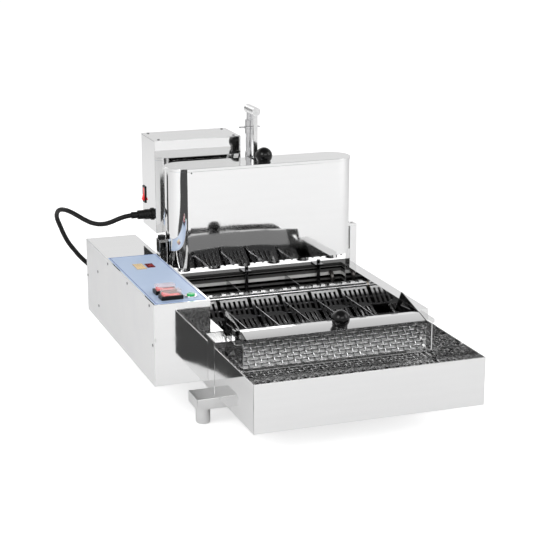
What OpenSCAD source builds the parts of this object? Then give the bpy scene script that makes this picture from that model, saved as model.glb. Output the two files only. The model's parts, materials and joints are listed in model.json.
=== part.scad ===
// Donut fryer: a six-lane depositor over an oil tank, with a control box beside it.
// Millimetres, +Z up. The origin is on the floor, under the middle of the machine.
// Inside the modules X starts at the control box's left side and Y at its front face.

/* [Base] */
// Diameter of a foot
foot_d = 28; // [20:1:36]
// Height of a foot below its cross channel
foot_h = 35; // [25:1:60]
// Depth of a cross channel, front to back
channel_d = 58; // [44:1:80]
// Height of a cross channel
channel_h = 22; // [16:1:40]
// Sheet thickness of a cross channel
channel_t = 2; // [1.5:0.5:3]
// Length of a cross channel beside the tank
channel_out = 40; // [36:1:60]
// Depth of the front channel in front of the tank, under the tray
tray_seat = 18; // [10:1:25]
// Set-back of the rear channel from the tank's back
rear_channel_set = 12; // [0:1:60]
// Length of a tray runner
runner_l = 150; // [80:1:180]

/* [Tank] */
// Width of the tank's casing
tank_w = 450; // [400:1:560]
// Length of the tank's casing
tank_l = 435; // [420:1:520]
// Height of the rim above the casing's bottom
casing_h = 117; // [105:1:150]
// Sheet thickness of the casing and the oil pan
sheet_t = 1.5; // [1:0.5:2]
// Width of the rim round the oil pan
rim_w = 25; // [20:1:32]
// Distance from the casing's front to the rim's front end
rim_set = 20; // [15:1:30]
// Height of the rim above the front ledge
ledge_drop = 12; // [8:1:16]
// Depth of the ledge in front of the casing
ledge_out = 10; // [8:1:16]
// Height of the oil pan's floor above the casing's bottom
pan_lift = 17; // [10:1:22]
// Number of frying lanes
lanes = 6; // [4:1:6]
// Diameter of the heating element's tube
element_d = 9; // [7:0.5:10]
// Height of the element's axis above the pan's floor
element_lift = 14; // [10:1:16]
// Diameter of a temperature probe
probe_d = 8; // [5:0.5:9]
// Thickness of a lane divider
divider_t = 1; // [0.8:0.1:1.5]

/* [Control box] */
// Width of the control box
box_w = 110; // [104:1:140]
// Length of the control box
box_l = 541; // [500:1:620]
// Height of the control box
box_h = 159; // [140:1:190]
// Height of the control box's bottom above the casing's bottom
box_lift = 21; // [10:1:30]
// Set-back of the control box's face from the tank's front
box_set = 20; // [0:1:30]
// Sheet thickness of the control box and the drive box
box_t = 1.5; // [1:0.5:2]

/* [Panel] */
// Length of the panel label
label_l = 357; // [310:1:400]
// Margin beside the panel label
label_side = 4; // [2:0.5:6]
// Length of a panel switch
switch_l = 42; // [38:1:46]
// Width of a panel switch
switch_w = 24; // [22:0.5:26]
// Height of a panel switch's frame above the panel
switch_h = 8; // [6:0.5:10]
// Tilt of a rocker from level
rocker_tilt = 8; // [5:1:10]
// Diameter of the start button's bezel
bezel_d = 24; // [22:0.5:26]
// Diameter of the start button
button_d = 15; // [12:0.5:16]
// Travel of the start button
button_travel = 2.5; // [1:0.5:3]

/* [Tray] */
// Length of the tray
tray_l = 221; // [200:1:280]
// Height of the tray's front and sides
tray_h = 93; // [80:1:95]
// Height of the tray's back
tray_rear_h = 40; // [30:1:45]
// Sheet thickness of the tray
tray_t = 1.5; // [1:0.5:2]
// Height of the rack's top above the casing's bottom
rack_h = 23; // [16:1:30]
// Wire diameter of the rack's net
wire_d = 2; // [1.5:0.5:2.5]

/* [Chute] */
// Forward run of the chute's plate
chute_run = 48; // [40:1:55]
// Drop of the chute's plate
chute_drop = 39; // [30:1:40]
// Height of a chute side at its front edge
chute_side_h = 58; // [50:1:62]
// Sheet thickness of the chute
chute_t = 1.5; // [1:0.5:2]

/* [Scoop] */
// Distance of the scoop's pivot in front of the casing
pivot_set = 5; // [3:0.5:7]
// Height of the scoop's pivot above the ledge
pivot_h = 9; // [9:0.5:12]
// Diameter of a scoop pin
scoop_pin_d = 6; // [5:0.5:8]
// Room between the scoop and the oil pan's side wall
scoop_side = 17; // [15:1:22]
// Sheet thickness of the scoop
scoop_t = 1.5; // [1:0.5:2]
// Reach of the flap's front edge in front of the pivot
flap_front = 53; // [48:1:56]
// Reach of the flap's rear edge in front of the pivot
flap_rear = 13; // [10:1:18]
// Length of a comb from the pivot to its rear end
comb_reach = 210; // [180:1:212]
// Depth of a comb's trough below the line between its ends
comb_depth = 30; // [24:1:34]
// Drop of a comb's rear end below the pivot
comb_rear_drop = 29; // [24:1:34]
// Slots in each comb
comb_slots = 5; // [3:1:7]
// Diameter of a ball knob
knob_d = 35; // [30:1:38]

/* [Flipper] */
// Distance of the flipper's shaft behind the control box's face
flipper_y = 245; // [240:1:260]
// Diameter of the flipper's shaft
shaft_d = 12; // [10:0.5:14]
// Reach of a flipper tine from the shaft's axis
tine_reach = 48; // [40:1:50]
// Tines on each flipper comb
tines = 6; // [4:1:7]
// Width of a flipper tine
tine_w = 5; // [4:0.5:6]
// Slope of the tines below level at rest
tine_slope = 40; // [25:1:45]

/* [Hopper] */
// Width of the hopper
hopper_w = 408; // [380:1:412]
// Depth of the hopper
hopper_d = 84; // [80:1:90]
// Height of the hopper
hopper_h = 208; // [180:1:240]
// Height of the hopper's bottom above the rim
hopper_lift = 35; // [28:1:45]
// Distance of the hopper's middle from the tank's back
hopper_set = 47; // [42:1:55]
// Sheet thickness of the hopper
hopper_t = 1.5; // [1:0.5:2]
// Outside diameter of a nozzle
nozzle_d = 28; // [25:0.5:32]
// Bore of a nozzle
nozzle_bore = 20; // [16:0.5:21]
// Height of a nozzle
nozzle_h = 15; // [12:1:18]
// Height of an upright that carries the hopper
upright_h = 89; // [70:1:100]

/* [Plunger] */
// Stroke of the plungers
stroke = 30; // [20:1:32]
// Diameter of the push rod
rod_d = 13; // [11:0.5:14]
// Distance of the push rod behind the hopper
column_gap = 14; // [12:0.5:16]
// Height of the top pin's axis above the hopper
top_pin_h = 102; // [98:1:110]
// Diameter of the top pin
top_pin_d = 18; // [16:0.5:20]

/* [Drive box] */
// Width of the drive box
drive_w = 190; // [170:1:192]
// Depth of the drive box
drive_d = 106; // [95:1:125]
// Height of the drive box
drive_h = 198; // [170:1:230]
// Gap between the hopper and the drive box
drive_gap = 24; // [20:1:30]
// Height of the drive box's bottom above the hopper's bottom
drive_lift = 54; // [40:1:60]
// Height of the socket above the drive box's bottom
socket_h = 36; // [28:1:44]
// Diameter of the cable's plug
plug_d = 21; // [18:0.5:24]

/* [Cable] */
// Diameter of the cable
cable_d = 10; // [8:0.5:11]

/* [Hidden] */
$fn = 48;
// Overrun of every cut past the face that it opens
over = 1;
// Running clearance of a shaft in its bore, on the radius
run_gap = 0.05;
// Clearance between pieces that move past each other
free_gap = 0.3;

// Base
foot_chamfer = 2;
runner_w = 20;
runner_h = 6;
runner_in = 60;
base_z = foot_h + channel_h;

// Tank places
tank_x0 = box_w;
tank_x1 = tank_x0 + tank_w;
tank_cx = tank_x0 + tank_w / 2;
casing_y0 = -box_set;
casing_y1 = casing_y0 + tank_l;
rim_y0 = casing_y0 + rim_set;
rim_z = base_z + casing_h;
ledge_z = rim_z - ledge_drop;
ledge_y0 = casing_y0 - ledge_out;
ledge_lip = 8;
floor_z = base_z + pan_lift;
pan_x0 = tank_x0 + rim_w;
pan_x1 = tank_x1 - rim_w;
pan_y0 = rim_y0 + sheet_t;
pan_y1 = casing_y1 - rim_w;
pan_w = pan_x1 - pan_x0;
lane_pitch = pan_w / lanes;
strap_w = 10;
strap_y_shares = [0.28, 0.72];

// Heating element and probes
element_legs = 6;
element_side = 25;
element_pitch = (pan_w - 2 * element_side) / (element_legs - 1);
element_turn = element_pitch / 2;
element_front_gap = 60;
element_back_gap = 70;
element_front_y = pan_y0 + element_front_gap;
element_back_y = pan_y1 - element_back_gap;
element_bend = 12;
element_z = floor_z + element_lift;
riser_y = pan_y1 - element_bend;
element_exit_drop = 8;
element_exit_z = ledge_z - element_exit_drop;
element_tail = 8;
probe_x_shares = [0.445, 0.86];
probe_wall_gap = 2;
probe_foot = 22;
probe_rise = 12;
probe_clip_w = 18;
probe_clip_t = 3;
probe_y = pan_y1 - probe_wall_gap - probe_d / 2;

// Lane dividers
divider_clear = 19;
divider_lift = 24;
divider_front_drop = 8;
divider_rear_drop = 15;
divider_tall_drop = 3;
divider_front_gap = 7;
divider_z0 = floor_z + divider_lift;
divider_front_top = ledge_z - divider_front_drop;
divider_rear_top = ledge_z - divider_rear_drop;
divider_tall_top = ledge_z - divider_tall_drop;
divider_front_y0 = pan_y0 + divider_front_gap;
divider_front_y1 = flipper_y - divider_clear;
divider_rear_y0 = flipper_y + divider_clear;
divider_long_gap = 4;
divider_short_gap = 30;
tie_d = 5;
tie_h = 6;
tie_in = 20;
tie_gap = 0.05;

// Control box places
box_z0 = base_z + box_lift;
box_z1 = box_z0 + box_h;
box_flange = 14;
cover_t = box_t;
wall_hole_gap = 3;
screw_d = 3;
screw_head_d = 5.5;
screw_head_h = 1.2;
screw_l = 7;
screw_edge = 8;
cover_screw_shares = [0.05, 0.35, 0.64];
inner_screw_set = 104;
inner_screw_y = box_l - inner_screw_set;
inner_screw_z_shares = [0.23, 0.7];
wall_hole_d = shaft_d + 2 * wall_hole_gap;

// Panel places, from the control box's left side and front
label_t = 0.5;
switch_x_share = 0.3909;
switch_x = switch_x_share * box_w;
switch_y_list = [32, 71.5];
switch_wall = 4;
switch_neck = 2;
switch_body_h = 14;
rocker_gap = 0.6;
rocker_l = switch_l - 2 * switch_wall - 2 * rocker_gap;
rocker_w = switch_w - 2 * switch_wall - 2 * free_gap;
rocker_thick = 5;
rocker_dip = 2.5;
rocker_rise = 2;
rocker_pin_d = 3;
rocker_pin_out = 2;
rocker_z = box_z1 + switch_h - rocker_thick / 2;
hood_t = 1;
hood_h = 10;
hood_edge = 2.5;
button_x_share = 0.7409;
button_x = button_x_share * box_w;
button_y = 30;
bezel_h = 4;
barrel_wall = 2;
barrel_l = 24;
button_out = 3;
button_l = 14;
display_x_share = 0.6273;
display_x = display_x_share * box_w;
display_y = 273;
display_w = 16;
display_l = 30;
display_t = 0.8;
keypad_x_share = 0.4318;
keypad_x = keypad_x_share * box_w;
keypad_w = 20;
keypad_l = 42;
controller_h = 36;
controller_margin = 3;

// Pieces inside the control box
contactor_w = 46;
contactor_l = 70;
contactor_h = 76;
contactor_y_share = 0.62;
contactor_step = 10;
terminal_w = 28;
terminal_l = 36;
terminal_margin = 14;
terminal_slots = 6;
slot_w = 4;
gear_l = 44;
gear_w = 64;
motor_d = 52;
motor_l = 90;
shaft_in_gear = 30;
inlet_w = 50;
inlet_h = 30;
inlet_t = 3;
inlet_body = 26;
inlet_x = 55;
inlet_z_share = 0.7;
inlet_wall = 4;
pin_w = 4;
pin_l = 14;
inlet_pin_pitch = 12;

// Cable gland on the control box's back
gland_x = 70;
gland_z = 110;
gland_d = 24;
gland_nut_h = 8;
gland_l = 20;
gland_bush_d = 18;

// Tray and rack
tray_gap = 2;
tray_y1 = casing_y0 - tray_gap;
tray_y0 = tray_y1 - tray_l;
rack_gap = 3;
rack_bar = 8;
rack_cols = 26;
rack_rows = 11;
rack_foot_d = 6;
rack_z1 = base_z + rack_h;

// Chute
chute_gap = 2.5;
chute_x0 = pan_x0 + scoop_side - chute_gap;
chute_x1 = pan_x1 - scoop_side + chute_gap;
chute_play = 1.5;
chute_top_z = ledge_z - ledge_lip - chute_play;
chute_low_z = chute_top_z - chute_drop;
chute_low_y = casing_y0 - chute_run;
chute_strip_h = 12;
chute_lip_w = 5;
chute_cols = 29;
chute_rows = 5;
chute_wire_d = 1.5;
chute_net_set = 4;
chute_slope = atan(chute_drop / chute_run);
chute_len = sqrt(chute_run * chute_run + chute_drop * chute_drop);

// Scoop
pivot_y = casing_y0 - pivot_set;
pivot_z = ledge_z + pivot_h;
scoop_x0 = pan_x0 + scoop_side;
scoop_x1 = pan_x1 - scoop_side;
flap_rear_up = 13;
flap_front_up = 6;
flap_t = 2;
flap_strip = 13;
flap_fold = flap_rear + flap_strip;
notch_w = 14;
notch_d = 4;
flap_lip = 3;
cheek_rear = 88;
cheek_rear_down = 14;
cheek_apex = 60;
cheek_apex_up = 32;
cheek_web = 8;
ear_d = 16;
lug_t = 3;
lug_gap = 1.5;
lug_front = 5;
lug_rear = 11;
lug_rise = 9;
comb_side = 4.3;
comb_start = 35;
comb_start_up = 11;
comb_slot_w = 4;
comb_border = 9;
comb_corner = 12;
comb_corner_share = 0.29;
comb_run = comb_reach - comb_start;
comb_tilt = atan((comb_rear_drop - comb_start_up) / comb_run);
comb_half = comb_run / cos(comb_tilt) / 2;
comb_r = (comb_half * comb_half + comb_depth * comb_depth) / (2 * comb_depth);
knob_rise_share = 0.4;
knob_base_share = 0.86;
knob_neck_share = 0.63;
knob_skirt_share = 0.14;
scoop_knob_side = 10;
flap_slope = atan((flap_rear_up - flap_front_up) / (flap_front - flap_fold));
knob_share = 0.45;

// Flipper
flipper_cover = 7;
flipper_z = rim_z - shaft_d / 2 - flipper_cover;
flipper_t = 1.5;
flipper_root = 16;
strip_w = 18;
strip_t = 3;
tab_l = 9;
tab_h = 2;
tab_shares = [0.22, 0.5, 0.78];
bush_wall = 2;
bush_flange = 4;
bush_d = shaft_d + 2 * bush_wall;
bush_flange_d = shaft_d + 2 * bush_flange;
bush_flange_t = 3;
shaft_tail = 8;

// Hopper
hopper_x0 = tank_cx - hopper_w / 2;
hopper_x1 = tank_cx + hopper_w / 2;
hopper_cy = casing_y1 - hopper_set;
hopper_y1 = hopper_cy + hopper_d / 2;
hopper_z0 = rim_z + hopper_lift;
hopper_z1 = hopper_z0 + hopper_h;
nozzle_end = 4;
nozzle_pitch = (hopper_w - 2 * nozzle_end) / lanes;
nozzle_lip = 3;
nozzle_lip_out = 2;
nozzle_lip_d = nozzle_d + 2 * nozzle_lip_out;
bolt_d = 5;
bolt_l = 13;
bolt_offset_share = 0.36;
ear_w = 24;
ear_t = 4;
upright_x = 16;
upright_t = 2;
upright_rim = 6;
upright_gap = 2;
upright_x0 = min(pan_x0 - upright_rim, hopper_x0 - upright_gap) - upright_x;
upright_x1 = max(pan_x1 + upright_rim, hopper_x1 + upright_gap) + upright_x;
clamp_d = 16;
clamp_h = 7;
clamp_shank_d = 6;
clamp_l = 24;
clamp_grooves = 16;
lid_t = 1.5;
lid_skirt = 5;
lid_skirt_t = 1;
lid_notch_w = 16;
lid_notch_front = 12;
lid_lift_knob = 4;
lid_knob_set = 23;
lid_knob_side = 4;

// Plunger and column
column_x = tank_cx;
column_y = hopper_y1 + column_gap;
piston_d = nozzle_bore - 2 * free_gap;
piston_h = 12;
piston_up = 3;
plunger_rod_d = 8;
header_rise = 60;
header_z = hopper_z0 + header_rise;
header_t = 8;
header_w = 36;
bar_w = 9;
bar_t = 5;
bar_set = 22;
bar_y = hopper_y1 - bar_set;
top_pin_z = hopper_z1 + top_pin_h;
top_pin_front = 5;
top_pin_back = 11;
collar_d = 20;
guide_wall = 2;
guide_d = rod_d + 2 * guide_wall;
guide_drop = 36;
guide_z0 = hopper_z1 - guide_drop;
guide_block_h = 22;
guide_block_w = 26;
guide_block_back = 12;
guide_base_h = 11;
guide_bush_h = 11;
guide_rise = 61;
guide_top = hopper_z1 + guide_rise;
wing_h = 4.4;
wing_span = 44;
wing_t = 2.5;
wing_hub_d = 22;
wing_w = 9;
lock_h = 14;
crank_r = stroke / 2;
crank_back = 51;
crank_rise = 121;
crank_rim = 18;
crank_y = column_y + crank_back;
crank_z = hopper_z0 + crank_rise;
crank_d = 2 * crank_r + crank_rim;
crank_t = 6;
crank_pin_d = 8;
crank_shaft_d = 10;
crank_gap = 1.5;
yoke_slot_clear = 4.5;
yoke_t = 6;
yoke_wall = 7;
yoke_hub_d = 22;
yoke_gap = 2;

// Drive box places
drive_column_gap = 17;
drive_x1 = column_x - drive_column_gap;
drive_x0 = drive_x1 - drive_w;
drive_y0 = hopper_y1 + drive_gap;
drive_y1 = drive_y0 + drive_d;
drive_z0 = hopper_z0 + drive_lift;
drive_z1 = drive_z0 + drive_h;
spacer_d = 16;
spacer_x_shares = [0.11, 0.82];
spacer_x0 = max(drive_x0, hopper_x0 + hopper_d / 2);
spacer_z_shares = [0.14, 0.6];
drive_gear_l = 54;
drive_gear_w = 60;
drive_motor_d = 58;
drive_motor_l = 86;
drive_shaft_in = 26;
drive_cover_skirt = 8;
drive_cover_gap = 0.2;
drive_screw_edge = 12;
drive_switch_w = 20;
drive_switch_l = 36;
drive_switch_out = 2;
drive_switch_body = 16;
drive_switch_set = 17;
drive_switch_rise = 67;
drive_switch_y = drive_y1 - drive_switch_set;
drive_switch_z = drive_z0 + drive_switch_rise;
drive_rocker_w = drive_switch_w - 2 * switch_wall - 2 * free_gap;
drive_rocker_l = drive_switch_l - 2 * switch_wall - 2 * rocker_gap;
socket_set = 29;
socket_y = drive_y0 + socket_set;
socket_z = drive_z0 + socket_h;
socket_flange_out = 2.5;
socket_flange_d = plug_d + 2 * socket_flange_out;
socket_flange_t = 3;
socket_barrel = 6;
plug_l = 36;
plug_grip = 14;
plug_neck_d = 14;
plug_ridges = 3;
plug_ridge_h = 0.8;
plug_ridge_w = 2;

// Whole machine
machine_x1 = tank_x1 + channel_out;
machine_y0 = tray_y0;
machine_x0 = -screw_head_h;
machine_y1 = box_l + max(inlet_t, gland_l);

// Cable route from the plug to the gland, chosen by hand
cable_route = [
    [82, 463, 299], [68, 464, 297], [54, 468, 292], [40, 475, 285], [25, 484, 280], [8, 496, 280],
    [-8, 510, 286], [-22, 525, 294], [-34, 539, 300], [-43, 556, 301], [-49, 574, 297], [-51, 591, 287],
    [-49, 604, 273], [-41, 611, 252], [-32, 614, 230], [-22, 617, 211], [-10, 619, 194], [3, 621, 177],
    [18, 621, 161], [32, 619, 146], [47, 612, 131], [60, 600, 119], [68, 582, 112], [70, 561, 110]];
cable_sides = 10;
cable_aside = [1, 1, 1];

// Moves the machine's own coordinates to the part's origin
module placed() {
    translate([-(machine_x0 + machine_x1) / 2, -(machine_y0 + machine_y1) / 2, 0]) children();
}

// Box between two corners
module slab(low, high) {
    translate(low) cube(high - low);
}

// Round bars along each axis, from one place to another
module rod_x(d, x0, x1, y, z) {
    translate([x0, y, z]) rotate([0, 90, 0]) cylinder(d = d, h = x1 - x0);
}

module rod_y(d, x, y0, y1, z) {
    translate([x, y1, z]) rotate([90, 0, 0]) cylinder(d = d, h = y1 - y0);
}

module rod_z(d, x, y, z0, z1) {
    translate([x, y, z0]) cylinder(d = d, h = z1 - z0);
}

// Outline in Y and Z, drawn out along X
module side_profile(x0, x1) {
    translate([x0, 0, 0]) rotate([90, 0, 90]) linear_extrude(height = x1 - x0) children();
}

// Outline in X and Z, drawn out along Y
module front_profile(y0, y1) {
    translate([0, y1, 0]) rotate([90, 0, 0]) linear_extrude(height = y1 - y0) children();
}

// Long outline with round ends, centred
module stadium(w, d) {
    square([w - d, d], center = true);
    for (side = [-1, 1]) translate([side * (w - d) / 2, 0]) circle(d = d, $fn = 96);
}

// Flat net of square gaps
module net(w, l, cols, rows, bar) {
    gap_w = (w - (cols + 1) * bar) / cols;
    gap_l = (l - (rows + 1) * bar) / rows;
    difference() {
        square([w, l]);
        for (i = [0:cols - 1], j = [0:rows - 1])
            translate([bar + i * (gap_w + bar), bar + j * (gap_l + bar)]) square([gap_w, gap_l]);
    }
}

// Ball knob with a flared skirt, cut flat where it stands on its seat
module ball_knob() {
    cylinder(d1 = knob_base_share * knob_d, d2 = knob_neck_share * knob_d, h = knob_skirt_share * knob_d);
    difference() {
        translate([0, 0, knob_rise_share * knob_d]) sphere(d = knob_d, $fn = 64);
        translate([0, 0, -knob_d]) cylinder(d = 2 * knob_d, h = knob_d);
    }
}

// Screw along +X, its head seated at x = 0 and its shank behind it
module side_screw() {
    rod_x(screw_head_d, -screw_head_h, 0, 0, 0);
    rod_x(screw_d, 0, screw_l, 0, 0);
}

// Every screw of the control box's cover, placed
module at_cover_screws() {
    for (share = cover_screw_shares)
        translate([0, share * box_l, box_z1 - screw_edge]) children();
    for (y = [screw_edge, box_l - screw_edge])
        translate([0, y, (box_z0 + box_z1) / 2]) children();
    for (share = inner_screw_z_shares)
        translate([0, inner_screw_y, box_z0 + share * box_h]) children();
}

// Every screw of the drive box's cover, placed on the top face
module at_drive_screws() {
    for (x = [drive_x0 + drive_screw_edge, drive_x1 - drive_screw_edge],
         y = [drive_y0 + drive_screw_edge, drive_y1 - drive_screw_edge])
        translate([x, y, drive_z1]) rotate([0, 90, 0]) children();
}

function lane_x(i) = pan_x0 + (i + 0.5) * lane_pitch;
function nozzle_x(i) = tank_cx + (i - (lanes - 1) / 2) * nozzle_pitch;

// Base and tank

module base_channels() color("silver") placed() {
    x0 = tank_x0 - channel_out;
    for (y0 = [casing_y0 - tray_seat, casing_y1 - rear_channel_set - channel_d])
        difference() {
            slab([x0, y0, foot_h], [machine_x1, y0 + channel_d, base_z]);
            slab([x0 + channel_t, y0 + channel_t, foot_h - over],
                 [machine_x1 - channel_t, y0 + channel_d - channel_t, base_z - channel_t]);
        }
    for (x = [tank_x0 + runner_in, tank_x1 - runner_in - runner_w])
        slab([x, casing_y0 - tray_seat - runner_l, base_z - runner_h],
             [x + runner_w, casing_y0 - tray_seat, base_z]);
}

module feet() color("lightgray") placed() {
    side = channel_out / 2;
    for (x = [tank_x0 - side, tank_x1 + side],
         y = [casing_y0 - tray_seat + channel_d / 2, casing_y1 - rear_channel_set - channel_d / 2]) {
        translate([x, y, 0]) cylinder(d1 = foot_d - 2 * foot_chamfer, d2 = foot_d, h = foot_chamfer);
        rod_z(foot_d, x, y, foot_chamfer, base_z - channel_t);
    }
}

module tank_casing() color("gainsboro") placed() difference() {
    slab([tank_x0, casing_y0, base_z], [tank_x1, casing_y1, rim_z - sheet_t]);
    slab([tank_x0 + sheet_t, casing_y0 + sheet_t, base_z + sheet_t],
         [tank_x1 - sheet_t, casing_y1 - sheet_t, rim_z + over]);
    slab([tank_x0 - over, casing_y0 - over, ledge_z - sheet_t],
         [tank_x1 + over, rim_y0 + sheet_t, rim_z + over]);
    rod_x(wall_hole_d, tank_x0 - over, tank_x0 + sheet_t + over, flipper_y, flipper_z);
}

module oil_tank() color("silver") placed() {
    difference() {
        union() {
            slab([pan_x0 - sheet_t, pan_y0 - sheet_t, floor_z - sheet_t],
                 [pan_x1 + sheet_t, pan_y1 + sheet_t, rim_z]);
            slab([tank_x0, rim_y0, rim_z - sheet_t], [tank_x1, casing_y1, rim_z]);
            slab([tank_x0, rim_y0, ledge_z - sheet_t], [tank_x1, rim_y0 + sheet_t, rim_z]);
        }
        slab([pan_x0, pan_y0, floor_z], [pan_x1, pan_y1, rim_z + over]);
        slab([pan_x0, rim_y0 - over, ledge_z], [pan_x1, pan_y0 + over, rim_z + over]);
        rod_x(bush_d, tank_x0, tank_x1, flipper_y, flipper_z);
        for (i = [0, element_legs - 1])
            rod_y(element_d, pan_x0 + element_side + i * element_pitch, pan_y1 - over,
                  pan_y1 + sheet_t + over, element_exit_z);
    }
    slab([tank_x0, ledge_y0, ledge_z - sheet_t], [tank_x1, rim_y0, ledge_z]);
    slab([tank_x0, ledge_y0, ledge_z - ledge_lip], [tank_x1, ledge_y0 + sheet_t, ledge_z - sheet_t]);
    for (share = strap_y_shares) {
        y = pan_y0 + share * (pan_y1 - pan_y0);
        slab([pan_x0, y, floor_z], [pan_x1, y + strap_w, element_z - element_d / 2]);
    }
    for (x = [scoop_x0 - lug_gap - lug_t, scoop_x1 + lug_gap])
        difference() {
            slab([x, pivot_y - lug_front, ledge_z], [x + lug_t, pivot_y + lug_rear, pivot_z + lug_rise]);
            rod_x(scoop_pin_d + 2 * run_gap, x - over, x + lug_t + over, pivot_y, pivot_z);
        }
}

// Half turn of the element's tube in the flat, opening towards -Y or +Y
module element_half_turn(facing) {
    rotate([0, 0, facing > 0 ? 0 : 180]) rotate_extrude(angle = 180)
        translate([element_turn, 0]) circle(d = element_d, $fn = 24);
}

// Quarter turn of the element's tube from +Y up to +Z
module element_rise_turn() {
    rotate([0, 90, 0]) rotate_extrude(angle = 90)
        translate([element_bend, 0]) circle(d = element_d, $fn = 24);
}

module heating_element() color("dimgray") placed() {
    for (i = [0:element_legs - 1]) {
        x = pan_x0 + element_side + i * element_pitch;
        last = i == 0 || i == element_legs - 1;
        rod_y(element_d, x, element_front_y, last ? riser_y - element_bend : element_back_y, element_z);
        if (i % 2 == 0)
            translate([x + element_turn, element_front_y, element_z]) element_half_turn(-1);
        else if (!last)
            translate([x + element_turn, element_back_y, element_z]) element_half_turn(1);
        if (last) {
            translate([x, riser_y - element_bend, element_z + element_bend]) element_rise_turn();
            rod_z(element_d, x, riser_y, element_z + element_bend, element_exit_z - element_bend);
            translate([x, riser_y + element_bend, element_exit_z - element_bend])
                rotate([180, 0, 0]) element_rise_turn();
            rod_y(element_d, x, riser_y + element_bend, pan_y1 + sheet_t + element_tail, element_exit_z);
        }
    }
}

module probes() color("gray") placed() {
    for (share = probe_x_shares) {
        x = pan_x0 + share * pan_w;
        rod_z(probe_d, x, probe_y, floor_z + probe_foot, rim_z + probe_rise);
        difference() {
            slab([x - probe_clip_w / 2, probe_y - probe_d, rim_z],
                 [x + probe_clip_w / 2, casing_y1 - rim_w / 3, rim_z + probe_clip_t]);
            rod_z(probe_d, x, probe_y, rim_z - over, rim_z + probe_clip_t + over);
        }
    }
}

// Lane plates kept apart by two rows of spacers
module divider_set(y0, long_y1, short_y1, long_top, short_top) {
    for (i = [1:lanes - 1]) {
        x = pan_x0 + i * lane_pitch;
        long = i % 2 == 0;
        slab([x - divider_t / 2, y0, divider_z0],
             [x + divider_t / 2, long ? long_y1 : short_y1, long ? long_top : short_top]);
    }
    for (y = [y0 + tie_in, short_y1 - tie_in], i = [0:lanes - 1])
        rod_x(tie_d, pan_x0 + i * lane_pitch + divider_t / 2 + tie_gap,
              pan_x0 + (i + 1) * lane_pitch - divider_t / 2 - tie_gap, y, divider_z0 + tie_h);
}

module front_dividers() color("gray") placed()
    divider_set(divider_front_y0, divider_front_y1, divider_front_y1, divider_front_top, divider_front_top);

module rear_dividers() color("gray") placed()
    divider_set(divider_rear_y0, pan_y1 - divider_long_gap, pan_y1 - divider_short_gap,
                divider_tall_top, divider_rear_top);

module shaft_bushes() color("goldenrod") placed() {
    for (side = [0, 1]) {
        wall = side == 0 ? pan_x0 - sheet_t : pan_x1;
        flange = side == 0 ? pan_x0 - sheet_t - bush_flange_t : pan_x1 + sheet_t;
        difference() {
            union() {
                rod_x(bush_d, wall, wall + sheet_t, flipper_y, flipper_z);
                rod_x(bush_flange_d, flange, flange + bush_flange_t, flipper_y, flipper_z);
            }
            rod_x(shaft_d + 2 * run_gap, flange - over - sheet_t, flange + bush_flange_t + sheet_t + over,
                  flipper_y, flipper_z);
        }
    }
}

module chute_frame() color("gainsboro") placed() {
    for (x = [chute_x0 - chute_t, chute_x1])
        side_profile(x, x + chute_t) polygon([
            [casing_y0, chute_top_z],
            [ledge_y0 - chute_t, chute_top_z],
            [chute_low_y - chute_lip_w, chute_low_z - chute_lip_w + chute_side_h],
            [chute_low_y - chute_lip_w, chute_low_z - chute_lip_w],
            [chute_low_y, chute_low_z - chute_lip_w],
            [casing_y0, chute_top_z - chute_strip_h]]);
    slab([chute_x0, casing_y0 - chute_t, chute_top_z - chute_strip_h], [chute_x1, casing_y0, chute_top_z]);
    slab([chute_x0, chute_low_y - chute_lip_w, chute_low_z - chute_lip_w],
         [chute_x1, chute_low_y - chute_lip_w + chute_t, chute_low_z]);
    slab([chute_x0, chute_low_y - chute_lip_w, chute_low_z - chute_lip_w],
         [chute_x1, chute_low_y, chute_low_z - chute_lip_w + chute_t]);
}

// Lays children on the chute's slope, with their Y running down it and their Z into it
module on_chute()
    translate([chute_x0, casing_y0 - chute_t - chute_t * sin(chute_slope), chute_top_z])
        rotate([180 + chute_slope, 0, 0]) children();

module chute_plate() color("lightgray") placed()
    on_chute() cube([chute_x1 - chute_x0, chute_len - chute_lip_w, chute_t]);

module chute_net() color("gray") placed()
    on_chute() translate([tie_gap, chute_net_set, -chute_wire_d - tie_gap])
        linear_extrude(height = chute_wire_d)
            net(chute_x1 - chute_x0 - 2 * tie_gap, chute_len - chute_lip_w - chute_net_set,
                chute_cols, chute_rows, chute_wire_d);

// Control box and what is in it

module control_box() color("whitesmoke") placed() difference() {
    slab([cover_t, 0, box_z0], [box_w, box_l, box_z1]);
    slab([2 * cover_t, box_t, box_z0 + box_t], [box_w - box_t, box_l - box_t, box_z1 - box_t]);
    slab([0, box_flange, box_z0 + box_flange],
         [cover_t + box_t + over, box_l - box_flange, box_z1 - box_flange]);
    at_cover_screws() rod_x(screw_d, 0, screw_l, 0, 0);
    rod_x(wall_hole_d, box_w - box_t - over, box_w + over, flipper_y, flipper_z);
    for (y = switch_y_list)
        slab([switch_x - switch_l / 2 + switch_neck, y - switch_w / 2 + switch_neck, box_z1 - box_t - over],
             [switch_x + switch_l / 2 - switch_neck, y + switch_w / 2 - switch_neck, box_z1 + over]);
    rod_z(button_d + 2 * barrel_wall, button_x, button_y, box_z1 - box_t - over, box_z1 + over);
    slab([inlet_x - inlet_w / 2 + inlet_wall, box_l - box_t - over, inlet_z() - inlet_h / 2 + inlet_wall],
         [inlet_x + inlet_w / 2 - inlet_wall, box_l + over, inlet_z() + inlet_h / 2 - inlet_wall]);
    rod_y(gland_bush_d, gland_x, box_l - box_t - over, box_l + over, gland_z);
}

function inlet_z() = box_z0 + inlet_z_share * box_h;

module control_cover() color("gainsboro") placed() difference() {
    slab([0, 0, box_z0], [cover_t, box_l, box_z1]);
    at_cover_screws() rod_x(screw_d, -over, screw_l, 0, 0);
}

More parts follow.
